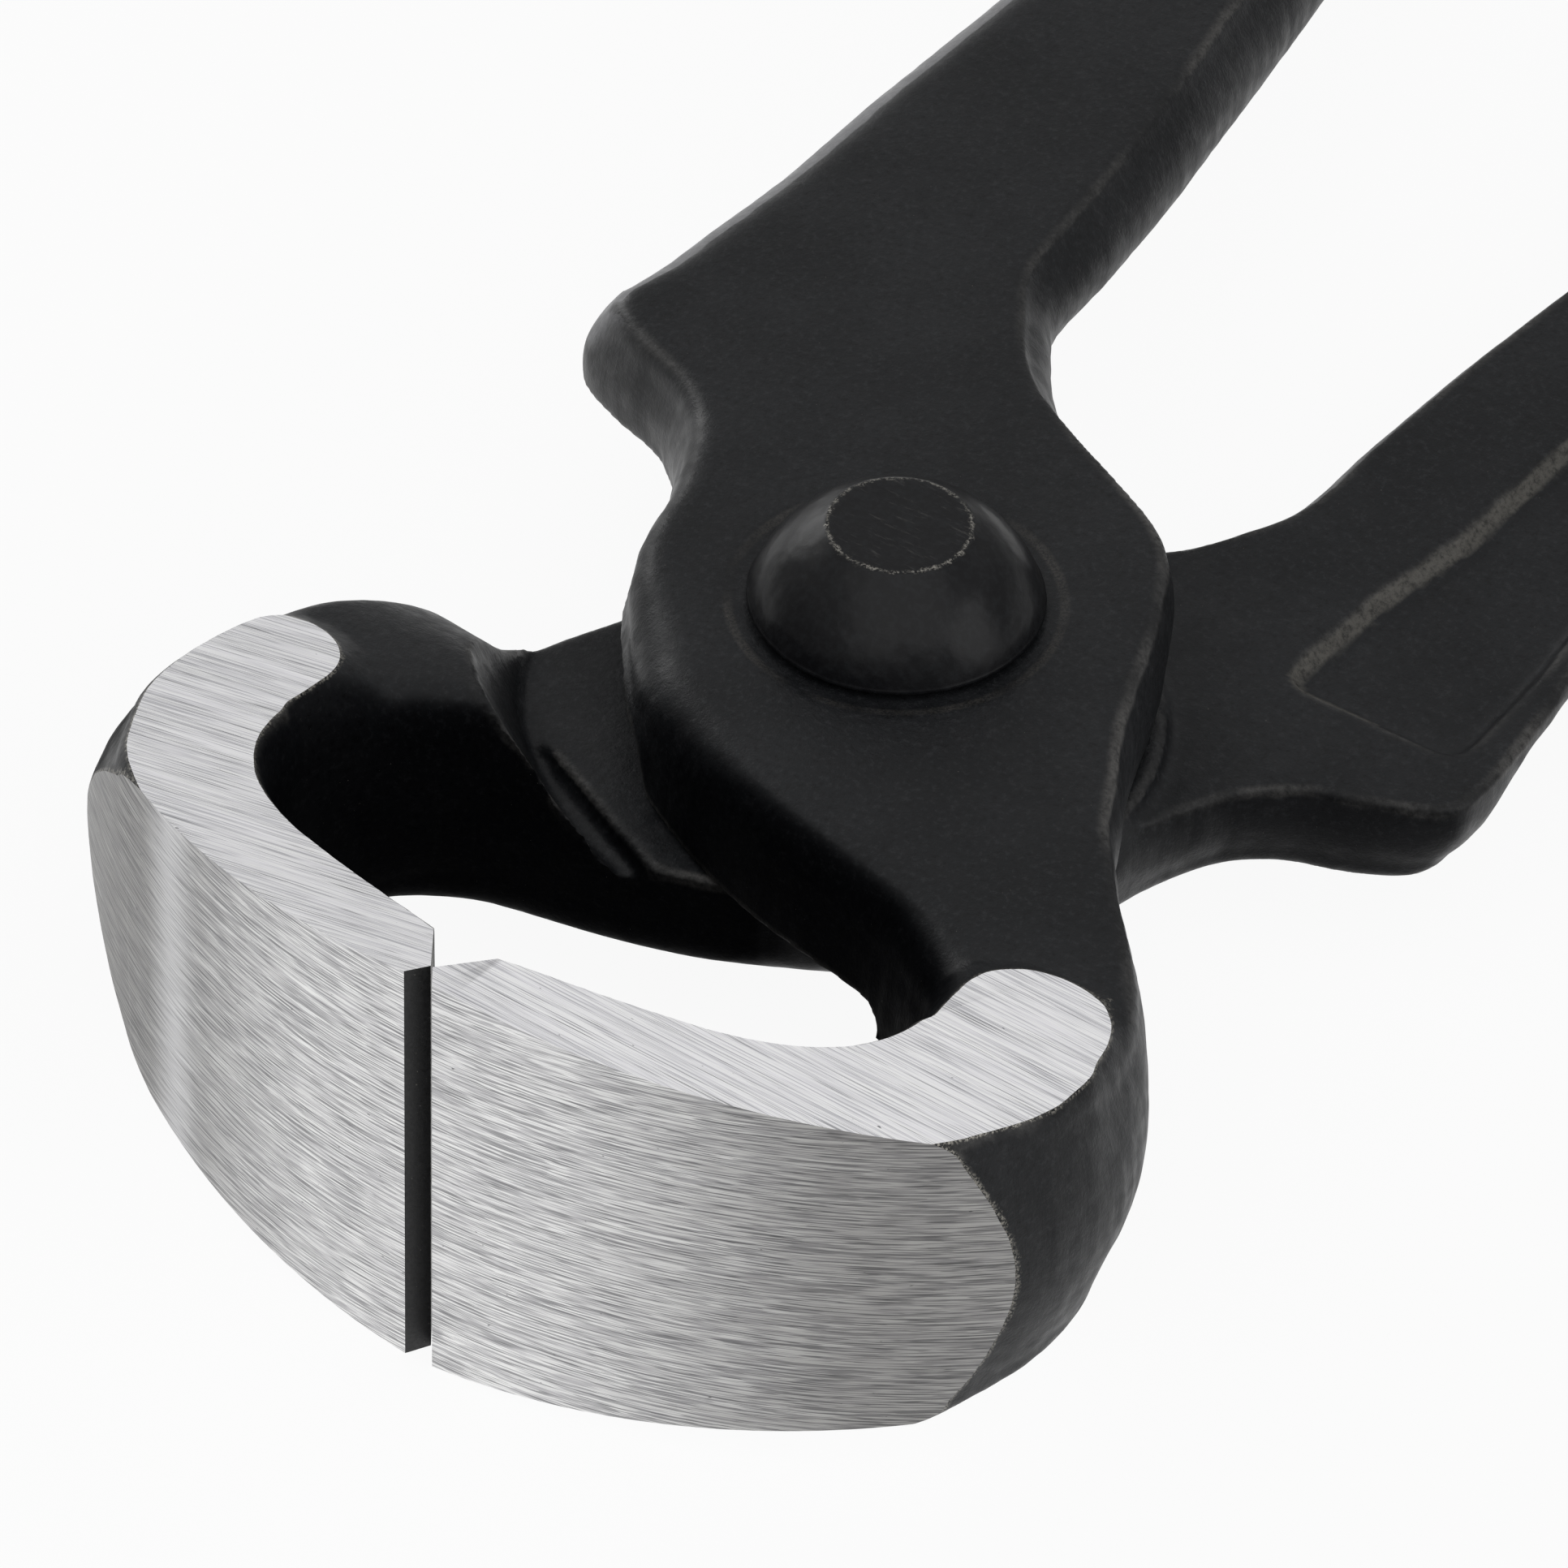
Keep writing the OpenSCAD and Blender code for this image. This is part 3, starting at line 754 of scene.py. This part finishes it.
def make_rivet(name):
    """Both heads and the shank between them, turned round the axis, with slight hammer marks."""
    profile, top = head_profile(PLATE - SPOT_DEPTH)
    outline = [(0.0, top)] + profile[::-1] + [(SHANK_RADIUS, PLATE - SPOT_DEPTH)]
    outline += [(r, -z) for r, z in reversed(outline)]
    points, faces = [], []
    for i in range(RIVET_SEGMENTS):
        turn = 2 * math.pi * i / RIVET_SEGMENTS
        for r, z in outline[1:-1]:
            soft = 0.0
            if abs(z) > PLATE:
                at = Vector((r * math.cos(turn), r * math.sin(turn), z))
                soft = SOFT_MARK * (1 + noise.noise(at * 0.45)) + FINE_MARK * (1 + noise.noise(at * 1.6))
            shrink = 1 - soft / max(r, 1.5)
            sink = 0.35 * soft * (1 if z > 0 else -1)
            points.append((r * shrink * math.cos(turn), r * shrink * math.sin(turn), z - sink))
    n = len(outline) - 2
    for i in range(RIVET_SEGMENTS):
        k = (i + 1) % RIVET_SEGMENTS
        for j in range(n - 1):
            faces.append((i * n + j, i * n + j + 1, k * n + j + 1, k * n + j))
    faces.append(tuple(i * n for i in range(RIVET_SEGMENTS)))
    faces.append(tuple(i * n + n - 1 for i in reversed(range(RIVET_SEGMENTS))))
    rivet = new_object(name, points, faces)
    mesh = rivet.data
    for face in mesh.polygons:
        face.use_smooth = True
    seat = PLATE - SPOT_DEPTH + SEAT_HEIGHT
    z = coordinates(mesh)[:, 2] / MM - LAP
    for edge in mesh.edges:
        highest = max(abs(z[v]) for v in edge.vertices)
        edge.use_edge_sharp = bool(highest < seat + 0.01)
    return rivet


# Materials

# The share of the floor's white that no shadow dims
GLOW_SHARE = 0.93


def linear(value):
    """One channel of a display colour as scene light."""
    value /= 255
    return value / 12.92 if value <= 0.04045 else ((value + 0.055) / 1.055) ** 2.4


def colour(r, g, b):
    return (linear(r), linear(g), linear(b), 1)


class Nodes:
    """A short way to write a material's nodes."""

    def __init__(self, name):
        self.material = bpy.data.materials.new(name)
        self.material.use_nodes = True
        self.tree = self.material.node_tree
        self.tree.nodes.clear()
        self.out = self.add("ShaderNodeOutputMaterial")
        self.shader = self.add("ShaderNodeBsdfPrincipled")
        self.link(self.shader.outputs[0], self.out.inputs["Surface"])

    def add(self, kind, **settings):
        node = self.tree.nodes.new(kind)
        for key, value in settings.items():
            setattr(node, key, value)
        return node

    def link(self, a, b):
        self.tree.links.new(a, b)

    def feed(self, socket, value):
        if isinstance(value, bpy.types.NodeSocket):
            self.link(value, socket)
        else:
            socket.default_value = value

    def set(self, **values):
        for key, value in values.items():
            self.feed(self.shader.inputs[key.replace("_", " ")], value)

    def attribute(self, name, vector=False):
        node = self.add("ShaderNodeAttribute", attribute_name=name)
        return node.outputs["Vector" if vector else "Fac"]

    def math(self, operation, a, b=0.0):
        node = self.add("ShaderNodeMath", operation=operation)
        self.feed(node.inputs[0], a)
        self.feed(node.inputs[1], b)
        return node.outputs[0]

    def combine(self, x, y, z):
        node = self.add("ShaderNodeCombineXYZ")
        for socket, value in zip(node.inputs, (x, y, z)):
            self.feed(socket, value)
        return node.outputs[0]

    def split(self, vector):
        node = self.add("ShaderNodeSeparateXYZ")
        self.link(vector, node.inputs[0])
        return node.outputs

    def radius(self, x, y):
        return self.math("SQRT", self.math("ADD", self.math("MULTIPLY", x, x), self.math("MULTIPLY", y, y)))

    def transform(self, vector, scale=(1, 1, 1), turn=0.0, shift=(0, 0, 0)):
        node = self.add("ShaderNodeMapping")
        self.link(vector, node.inputs["Vector"])
        node.inputs["Scale"].default_value = scale
        node.inputs["Rotation"].default_value = (0, 0, turn)
        node.inputs["Location"].default_value = shift
        return node.outputs[0]

    def noise(self, vector, scale, detail=2.0, roughness=0.5):
        node = self.add("ShaderNodeTexNoise")
        self.link(vector, node.inputs["Vector"])
        node.inputs["Scale"].default_value = scale
        node.inputs["Detail"].default_value = detail
        node.inputs["Roughness"].default_value = roughness
        return node.outputs["Fac"]

    def ramp(self, value, low, high, bottom=0.0, top=1.0):
        node = self.add("ShaderNodeMapRange", interpolation_type="SMOOTHSTEP")
        self.feed(node.inputs["Value"], value)
        for key, setting in (("From Min", low), ("From Max", high), ("To Min", bottom), ("To Max", top)):
            self.feed(node.inputs[key], setting)
        return node.outputs[0]

    def blend(self, share, a, b, kind="MIX"):
        node = self.add("ShaderNodeMix", data_type="RGBA", blend_type=kind)
        self.feed(node.inputs[0], share)
        self.feed(node.inputs[6], a)
        self.feed(node.inputs[7], b)
        return node.outputs[2]

    def coat(self, base, share, strength, tone):
        """Lays a tone over the base where its share is high."""
        return self.blend(self.math("MULTIPLY", share, strength), base, tone)

    def bump(self, height, strength, distance, normal=None):
        node = self.add("ShaderNodeBump")
        self.feed(node.inputs["Height"], height)
        node.inputs["Strength"].default_value = strength
        node.inputs["Distance"].default_value = distance * MM
        if normal is not None:
            self.link(normal, node.inputs["Normal"])
        return node.outputs[0]


def lacquer(name, seed):
    """Black satin lacquer over forging scale: sandy grain, specks, rubbed edges, and bare burrs
    where the grinding starts, with painted shade where the lever is marked for it and a painted sheen on the
    handle's rim."""
    m = Nodes(name)
    place = m.transform(m.attribute("place", True), shift=(seed * 13, seed * 7, seed * 3))
    cloud = m.noise(place, 0.12, 3, 0.55)
    grain = m.noise(place, 2.6, 3, 0.75)
    fine = m.noise(place, 7.0, 2, 0.7)
    streaks = m.noise(m.transform(place, scale=(1, 1, 0.12)), 1.6, 4, 0.65)
    base = m.blend(m.ramp(cloud, 0.35, 0.65), colour(18, 19, 21), colour(26, 27, 29))
    base = m.blend(m.ramp(grain, 0.52, 0.68, 0, 0.4), base, colour(48, 49, 51))
    base = m.blend(m.ramp(grain, 0.46, 0.32, 0, 0.7), base, colour(8, 8, 9))
    x, y, z = m.split(m.attribute("place", True))
    radius = m.radius(x, y)
    seat = m.ramp(m.math("ABSOLUTE", m.math("SUBTRACT", radius, SPOT_RADIUS)), 0.12, 0.36, 1, 0)
    seat = m.math("MULTIPLY", seat, m.ramp(z, PLATE - 1, PLATE - 0.6))
    seat = m.math("MULTIPLY", seat, m.ramp(cloud, 0.35, 0.6))
    seat = m.math("MULTIPLY", seat, m.ramp(fine, 0.35, 0.65, 0.2, 1.0))
    base = m.coat(base, seat, 0.45, colour(84, 81, 77))
    rubbed = m.ramp(m.attribute("bend"), 0.12, 0.34)
    rubbed = m.math("MULTIPLY", rubbed, m.ramp(grain, 0.25, 0.70, 0.25, 1.0))
    rubbed = m.math("MULTIPLY", rubbed, m.ramp(cloud, 0.38, 0.62, 0.1, 1.0))
    base = m.coat(base, rubbed, 0.46, colour(110, 108, 105))
    dust = m.math("MULTIPLY", m.attribute("dust"), m.ramp(grain, 0.30, 0.60, 0.3, 1.0))
    base = m.coat(base, dust, 0.38, colour(122, 119, 112))
    # Painted shade: the marked amount darkens the lacquer almost to black
    shade = m.attribute("shade")
    base = m.coat(base, m.math("MAXIMUM", shade, 0.0), 0.8, colour(4, 4, 5))
    # Painted sheen: a pale grey on the handle's rounded rim, where the mark lies far below zero
    sheen = m.math("MULTIPLY", m.ramp(shade, -0.81, -0.95), m.ramp(grain, 0.3, 0.7, 0.75, 1.0))
    base = m.coat(base, sheen, 0.5, colour(166, 166, 169))
    specks = m.math("MULTIPLY", m.ramp(fine, 0.74, 0.78), m.ramp(m.noise(place, 0.6, 2), 0.50, 0.66))
    base = m.coat(base, specks, 0.6, colour(150, 146, 138))
    near = m.ramp(m.math("ADD", m.attribute("gap"), m.math("MULTIPLY", grain, 0.3)), 0.18, 0.30, 1, 0)
    burr = m.math("MULTIPLY", near, m.ramp(fine, 0.42, 0.60))
    base = m.coat(base, burr, 0.75, colour(146, 143, 136))
    height = m.math("ADD", m.math("MULTIPLY", grain, 0.7), m.math("MULTIPLY", fine, 0.3))
    normal = m.bump(height, 0.6, 0.06)
    normal = m.bump(streaks, 0.45, 0.08, normal)
    rough = m.ramp(m.noise(place, 0.9, 3), 0.3, 0.7, 0.36, 0.48)
    m.set(Base_Color=base, Roughness=rough, Normal=normal, Metallic=m.math("MULTIPLY", burr, 0.8))
    # The painted shade lowers the specular level, and the painted sheen raises it
    m.feed(m.shader.inputs["Specular IOR Level"], m.ramp(shade, -1, 1, 0.33, 0.0))
    return m.material


def streaks_of(m, place, length, width, detail):
    """Noise that is drawn out along the first axis."""
    return m.noise(m.transform(place, scale=(1 / length, 1 / width, 1 / width)), 1.0, detail, 0.62)


def ground_steel(name, seed, place_of, tones, reach, turn=0.0, dull_ends_painted_shade=False, painted_highlight_at=None):
    """Bare ground steel: streaks of scratches along the first axis of its own flat coordinates,
    longer with a greater reach. A painted highlight band may cross them at one place along that axis, and a
    round face can be made rougher and anisotropic, with painted shade darkening it towards its outer end."""
    m = Nodes(name)
    raw = m.attribute("place", True)
    place = m.transform(place_of(m, raw), turn=turn, shift=(seed * 37, seed * 11, 0))
    broad = streaks_of(m, place, 6 * reach, 0.9, 4)
    mid = streaks_of(m, place, 3.6 * reach, 0.11, 1)
    hair = streaks_of(m, place, 3.2 * reach, 0.07, 1)
    long = streaks_of(m, place, 9 * reach, 0.10, 0)
    dark, pale, white = tones
    base = m.blend(m.ramp(broad, 0.32, 0.68, 0.45, 1), dark, pale)
    base = m.blend(m.ramp(mid, 0.52, 0.62, 0, 0.8), base, white)
    base = m.blend(m.ramp(mid, 0.47, 0.36, 0, 0.9), base, dark)
    base = m.blend(m.ramp(hair, 0.57, 0.62), base, white)
    base = m.blend(m.ramp(long, 0.66, 0.70), base, white)
    base = m.blend(m.ramp(long, 0.34, 0.30, 0, 0.6), base, dark)
    gouge = m.math("MULTIPLY", m.ramp(hair, 0.38, 0.32), m.ramp(broad, 0.62, 0.46))
    base = m.coat(base, gouge, 0.7, colour(84, 84, 86))
    pits = m.ramp(m.noise(m.transform(place, scale=(0.45, 1, 1)), 3.2, 2, 0.6), 0.73, 0.77)
    base = m.coat(base, pits, 0.8, colour(66, 66, 68))
    height = m.math("ADD", m.math("MULTIPLY", mid, 0.6), m.math("MULTIPLY", hair, 0.4))
    least = 0.34 if dull_ends_painted_shade else 0.25
    rough = m.ramp(broad, 0.3, 0.7, least, least + 0.1)
    # Painted shade: the round front face is darkened towards its outer end
    if dull_ends_painted_shade:
        painted_end_shade = m.ramp(m.math("ADD", m.split(raw)[0], m.math("MULTIPLY", broad, 8)), 8, 27, 0, 0.9)
        base = m.blend(painted_end_shade, base, m.blend(1.0, base, colour(148, 147, 145), "MULTIPLY"))
    # Painted highlight: a near-white band across the front face, where a lamp's reflection would lie
    if painted_highlight_at:
        along = m.split(place_of(m, raw))[0]
        band = m.ramp(m.math("ABSOLUTE", m.math("SUBTRACT", along, painted_highlight_at)), 0.0, 3.0, 0.5, 0)
        base = m.blend(m.math("MULTIPLY", band, m.ramp(mid, 0.25, 0.6, 0.5, 1)), base, colour(250, 250, 252))
    if dull_ends_painted_shade:
        tangent = m.add("ShaderNodeTangent", direction_type="RADIAL", axis="Z")
        m.link(tangent.outputs[0], m.shader.inputs["Tangent"])
        m.shader.inputs["Anisotropic"].default_value = 0.8
        m.shader.inputs["Anisotropic Rotation"].default_value = 0.25
    m.set(Base_Color=base, Roughness=rough, Normal=m.bump(height, 0.5, 0.03), Metallic=0.85)
    return m.material


def flat_axis(m, raw):
    """Places seen from above, whatever the slope."""
    return m.transform(raw, scale=(1, 1, 0))


def round_axis(m, raw):
    """Arc length round the front face, and height."""
    x, y, z = m.split(raw)
    arc = m.math("MULTIPLY", m.math("ARCTAN2", x, m.math("MULTIPLY", y, -1.0)), FRONT_RADIUS)
    return m.combine(arc, z, 0.0)


def black_wall(name):
    """The lacquered walls of the groove between the cutting edges."""
    m = Nodes(name)
    place = m.attribute("place", True)
    fine = m.noise(place, 5.0, 3, 0.7)
    base = m.blend(m.ramp(fine, 0.68, 0.74), colour(16, 16, 17), colour(120, 118, 112))
    m.set(Base_Color=base, Roughness=m.ramp(fine, 0.3, 0.7, 0.4, 0.6), Normal=m.bump(fine, 0.3, 0.04))
    return m.material


def rivet_lacquer(name):
    """Smoother black on the rivet, scratched bare round the rims of its flats."""
    m = Nodes(name)
    coords = m.add("ShaderNodeTexCoord").outputs["Object"]
    place = m.transform(coords, scale=(1000, 1000, 1000))
    radius = m.radius(*m.split(place)[:2])
    grain = m.noise(place, 2.6, 3, 0.6)
    fine = m.noise(place, 8.0, 3, 0.7)
    base = m.blend(m.ramp(grain, 0.4, 0.7), colour(14, 14, 16), colour(23, 24, 26))
    away = m.math("ABSOLUTE", m.math("SUBTRACT", radius, FLAT_RADIUS - 0.05))
    rim = m.ramp(m.math("ADD", away, m.math("MULTIPLY", grain, 0.5)), 0.22, 0.42, 1, 0)
    rim = m.math("MULTIPLY", rim, m.ramp(fine, 0.44, 0.58))
    inner = m.ramp(radius, FLAT_RADIUS + 0.05, FLAT_RADIUS - 0.2)
    scratches = m.noise(m.transform(place, scale=(0.5, 3.2, 1), turn=0.7), 1.6, 4, 0.7)
    worn = m.math("MULTIPLY", inner, m.ramp(scratches, 0.56, 0.72, 0, 0.5))
    base = m.blend(worn, base, colour(74, 73, 72))
    base = m.coat(base, rim, 0.7, colour(160, 157, 150))
    height = m.math("ADD", grain, m.math("MULTIPLY", m.math("MULTIPLY", inner, scratches), 1.2))
    rough = m.math("ADD", 0.30, m.math("MULTIPLY", inner, 0.14))
    m.shader.inputs["Specular IOR Level"].default_value = 0.15
    m.set(Base_Color=base, Roughness=rough, Normal=m.bump(height, 0.16, 0.05),
          Metallic=m.math("MULTIPLY", rim, 0.5))
    return m.material


def white_ground(name):
    """White for the camera and in reflections, with a soft shadow, and plain white card for other light."""
    m = Nodes(name)
    path = m.add("ShaderNodeLightPath")
    seen = m.math("MAXIMUM", path.outputs["Is Camera Ray"], path.outputs["Is Glossy Ray"])
    seen = m.math("MAXIMUM", seen, path.outputs["Is Transmission Ray"])
    m.set(Base_Color=(0.8, 0.8, 0.8, 1), Roughness=0.9)
    m.shader.inputs["Specular IOR Level"].default_value = 0.0
    glow = m.add("ShaderNodeEmission")
    glow.inputs["Color"].default_value = (1, 1, 1, 1)
    either = m.add("ShaderNodeMixShader")
    m.link(m.math("MULTIPLY", seen, GLOW_SHARE), either.inputs[0])
    m.link(m.shader.outputs[0], either.inputs[1])
    m.link(glow.outputs[0], either.inputs[2])
    m.link(either.outputs[0], m.out.inputs["Surface"])
    return m.material


def dress(lever, seed, finish_and_light):
    """Gives a lever its materials, in the order of its surface classes."""
    side = (colour(198, 198, 202), colour(252, 251, 254), colour(255, 255, 255))
    front = (colour(152, 152, 154), colour(220, 219, 221), colour(253, 253, 252))
    name = lever.name
    slots = lever.data.materials
    slots.append(lacquer(name + "_lacquer", seed))
    slots.append(ground_steel(name + "_ground_side", seed, flat_axis, side, 1.8,
                              math.radians(-finish_and_light["slant"])))
    slots.append(ground_steel(name + "_ground_front", seed, round_axis, front, 0.85, dull_ends_painted_shade=True,
                              painted_highlight_at=finish_and_light["painted_highlight_at"]))
    slots.append(black_wall(name + "_groove"))


# The view and the light

# Focal length and sensor in millimetres, the camera's place, and its turns in radians
CAMERA_LENS = 204.30
CAMERA_SENSOR = 36
CAMERA_PLACE = Vector((173.78, -280.44, 305.32))
CAMERA_TURN = 0.57047
CAMERA_FALL = 0.73645
CAMERA_ROLL = 0.03543


def add_camera():
    """The photograph's view, fitted to it in millimetres."""
    data = bpy.data.cameras.new("camera")
    data.lens = CAMERA_LENS
    data.sensor_width = CAMERA_SENSOR
    data.clip_start = 0.01
    camera = bpy.data.objects.new("camera", data)
    bpy.context.scene.collection.objects.link(camera)
    right = Vector((math.cos(CAMERA_TURN), math.sin(CAMERA_TURN), 0))
    ahead = Vector((-math.sin(CAMERA_TURN) * math.cos(CAMERA_FALL),
                    math.cos(CAMERA_TURN) * math.cos(CAMERA_FALL), -math.sin(CAMERA_FALL)))
    up = right.cross(ahead)
    c, s = math.cos(CAMERA_ROLL), math.sin(CAMERA_ROLL)
    right, up = c * right + s * up, c * up - s * right
    turn = Matrix((right, up, -ahead)).transposed()
    camera.matrix_world = Matrix.Translation(CAMERA_PLACE * MM) @ turn.to_4x4()
    bpy.context.scene.camera = camera


def add_lamp(name, place, aim, size, power):
    """A soft square lamp. Place and aim are in metres."""
    data = bpy.data.lights.new(name, "AREA")
    data.shape = "SQUARE"
    data.size = size
    data.energy = power
    lamp = bpy.data.objects.new(name, data)
    bpy.context.scene.collection.objects.link(lamp)
    lamp.location = place
    lamp.rotation_euler = (Vector(aim) - Vector(place)).to_track_quat("-Z", "Y").to_euler()


# The floor lies at the level of the jaws' lower side faces, counted from the lap plane
FLOOR_HEIGHT = -EDGE_HALF - 0.05
FLOOR_HALF = 1500.0
# What reflections see of the sky: its strength at the horizon and overhead, and the heights of a
# direction between which one turns into the other
HORIZON = 0.5
CEILING = 1.0
SKY_LOW = 0.25
SKY_HIGH = 0.50
# Strength of the sky for other light
PLAIN_SKY = 0.30
# Name, place in metres, size in metres and power in watts
LAMPS = (("key", (0.34, -0.50, 1.0), 1.7, 8.5), ("left", (-0.95, 0.35, 0.35), 0.5, 2.5),
         ("right", (0.9, 0.1, 0.35), 0.6, 2))
LAMP_AIM = (0, -0.01, 0.01)


def add_floor():
    corners = ((-1, -1), (1, -1), (1, 1), (-1, 1))
    floor = new_object("floor", [(x * FLOOR_HALF, y * FLOOR_HALF, FLOOR_HEIGHT) for x, y in corners],
                       [(0, 1, 2, 3)])
    floor.data.materials.append(white_ground("floor_white"))


def add_sky():
    """White for the camera, bright overhead in reflections, and dim for other light."""
    world = bpy.context.scene.world or bpy.data.worlds.new("world")
    bpy.context.scene.world = world
    world.use_nodes = True
    nodes, link = world.node_tree.nodes, world.node_tree.links.new
    nodes.clear()
    out = nodes.new("ShaderNodeOutputWorld")
    plain = nodes.new("ShaderNodeBackground")
    plain.inputs["Strength"].default_value = PLAIN_SKY
    seen = nodes.new("ShaderNodeBackground")
    path = nodes.new("ShaderNodeLightPath")
    direction = nodes.new("ShaderNodeTexCoord")
    height = nodes.new("ShaderNodeSeparateXYZ")
    ceiling = nodes.new("ShaderNodeMapRange")
    ceiling.interpolation_type = "SMOOTHSTEP"
    levels = {"From Min": SKY_LOW, "From Max": SKY_HIGH, "To Min": HORIZON, "To Max": CEILING}
    for key, value in levels.items():
        ceiling.inputs[key].default_value = value
    link(direction.outputs["Generated"], height.inputs[0])
    link(height.outputs["Z"], ceiling.inputs["Value"])
    strength = nodes.new("ShaderNodeMix")
    strength.inputs[3].default_value = 1.0
    link(path.outputs["Is Camera Ray"], strength.inputs[0])
    link(ceiling.outputs[0], strength.inputs[2])
    link(strength.outputs[0], seen.inputs["Strength"])
    either = nodes.new("ShaderNodeMath")
    either.operation = "MAXIMUM"
    link(path.outputs["Is Camera Ray"], either.inputs[0])
    link(path.outputs["Is Glossy Ray"], either.inputs[1])
    choice = nodes.new("ShaderNodeMixShader")
    link(either.outputs[0], choice.inputs[0])
    link(plain.outputs[0], choice.inputs[1])
    link(seen.outputs[0], choice.inputs[2])
    link(choice.outputs[0], out.inputs["Surface"])


front = make_lever("front_lever_forging", 1, FRONT_FORM, FRONT_FINISH_AND_LIGHT)
rear = make_lever("rear_lever_forging", 2, REAR_FORM, REAR_FINISH_AND_LIGHT)
turn_over(rear)
rivet = make_rivet("rivet_heads")
rivet.data.materials.append(rivet_lacquer("rivet_black"))

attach(front, "front")
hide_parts("front_lever")
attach(rear, "rear")
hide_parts("rear_lever")
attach(rivet, "rear")
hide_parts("rivet")

add_floor()
add_sky()
for name, place, size, power in LAMPS:
    add_lamp(name, place, LAMP_AIM, size, power)
add_camera()
bpy.context.scene.view_settings.view_transform = "Standard"
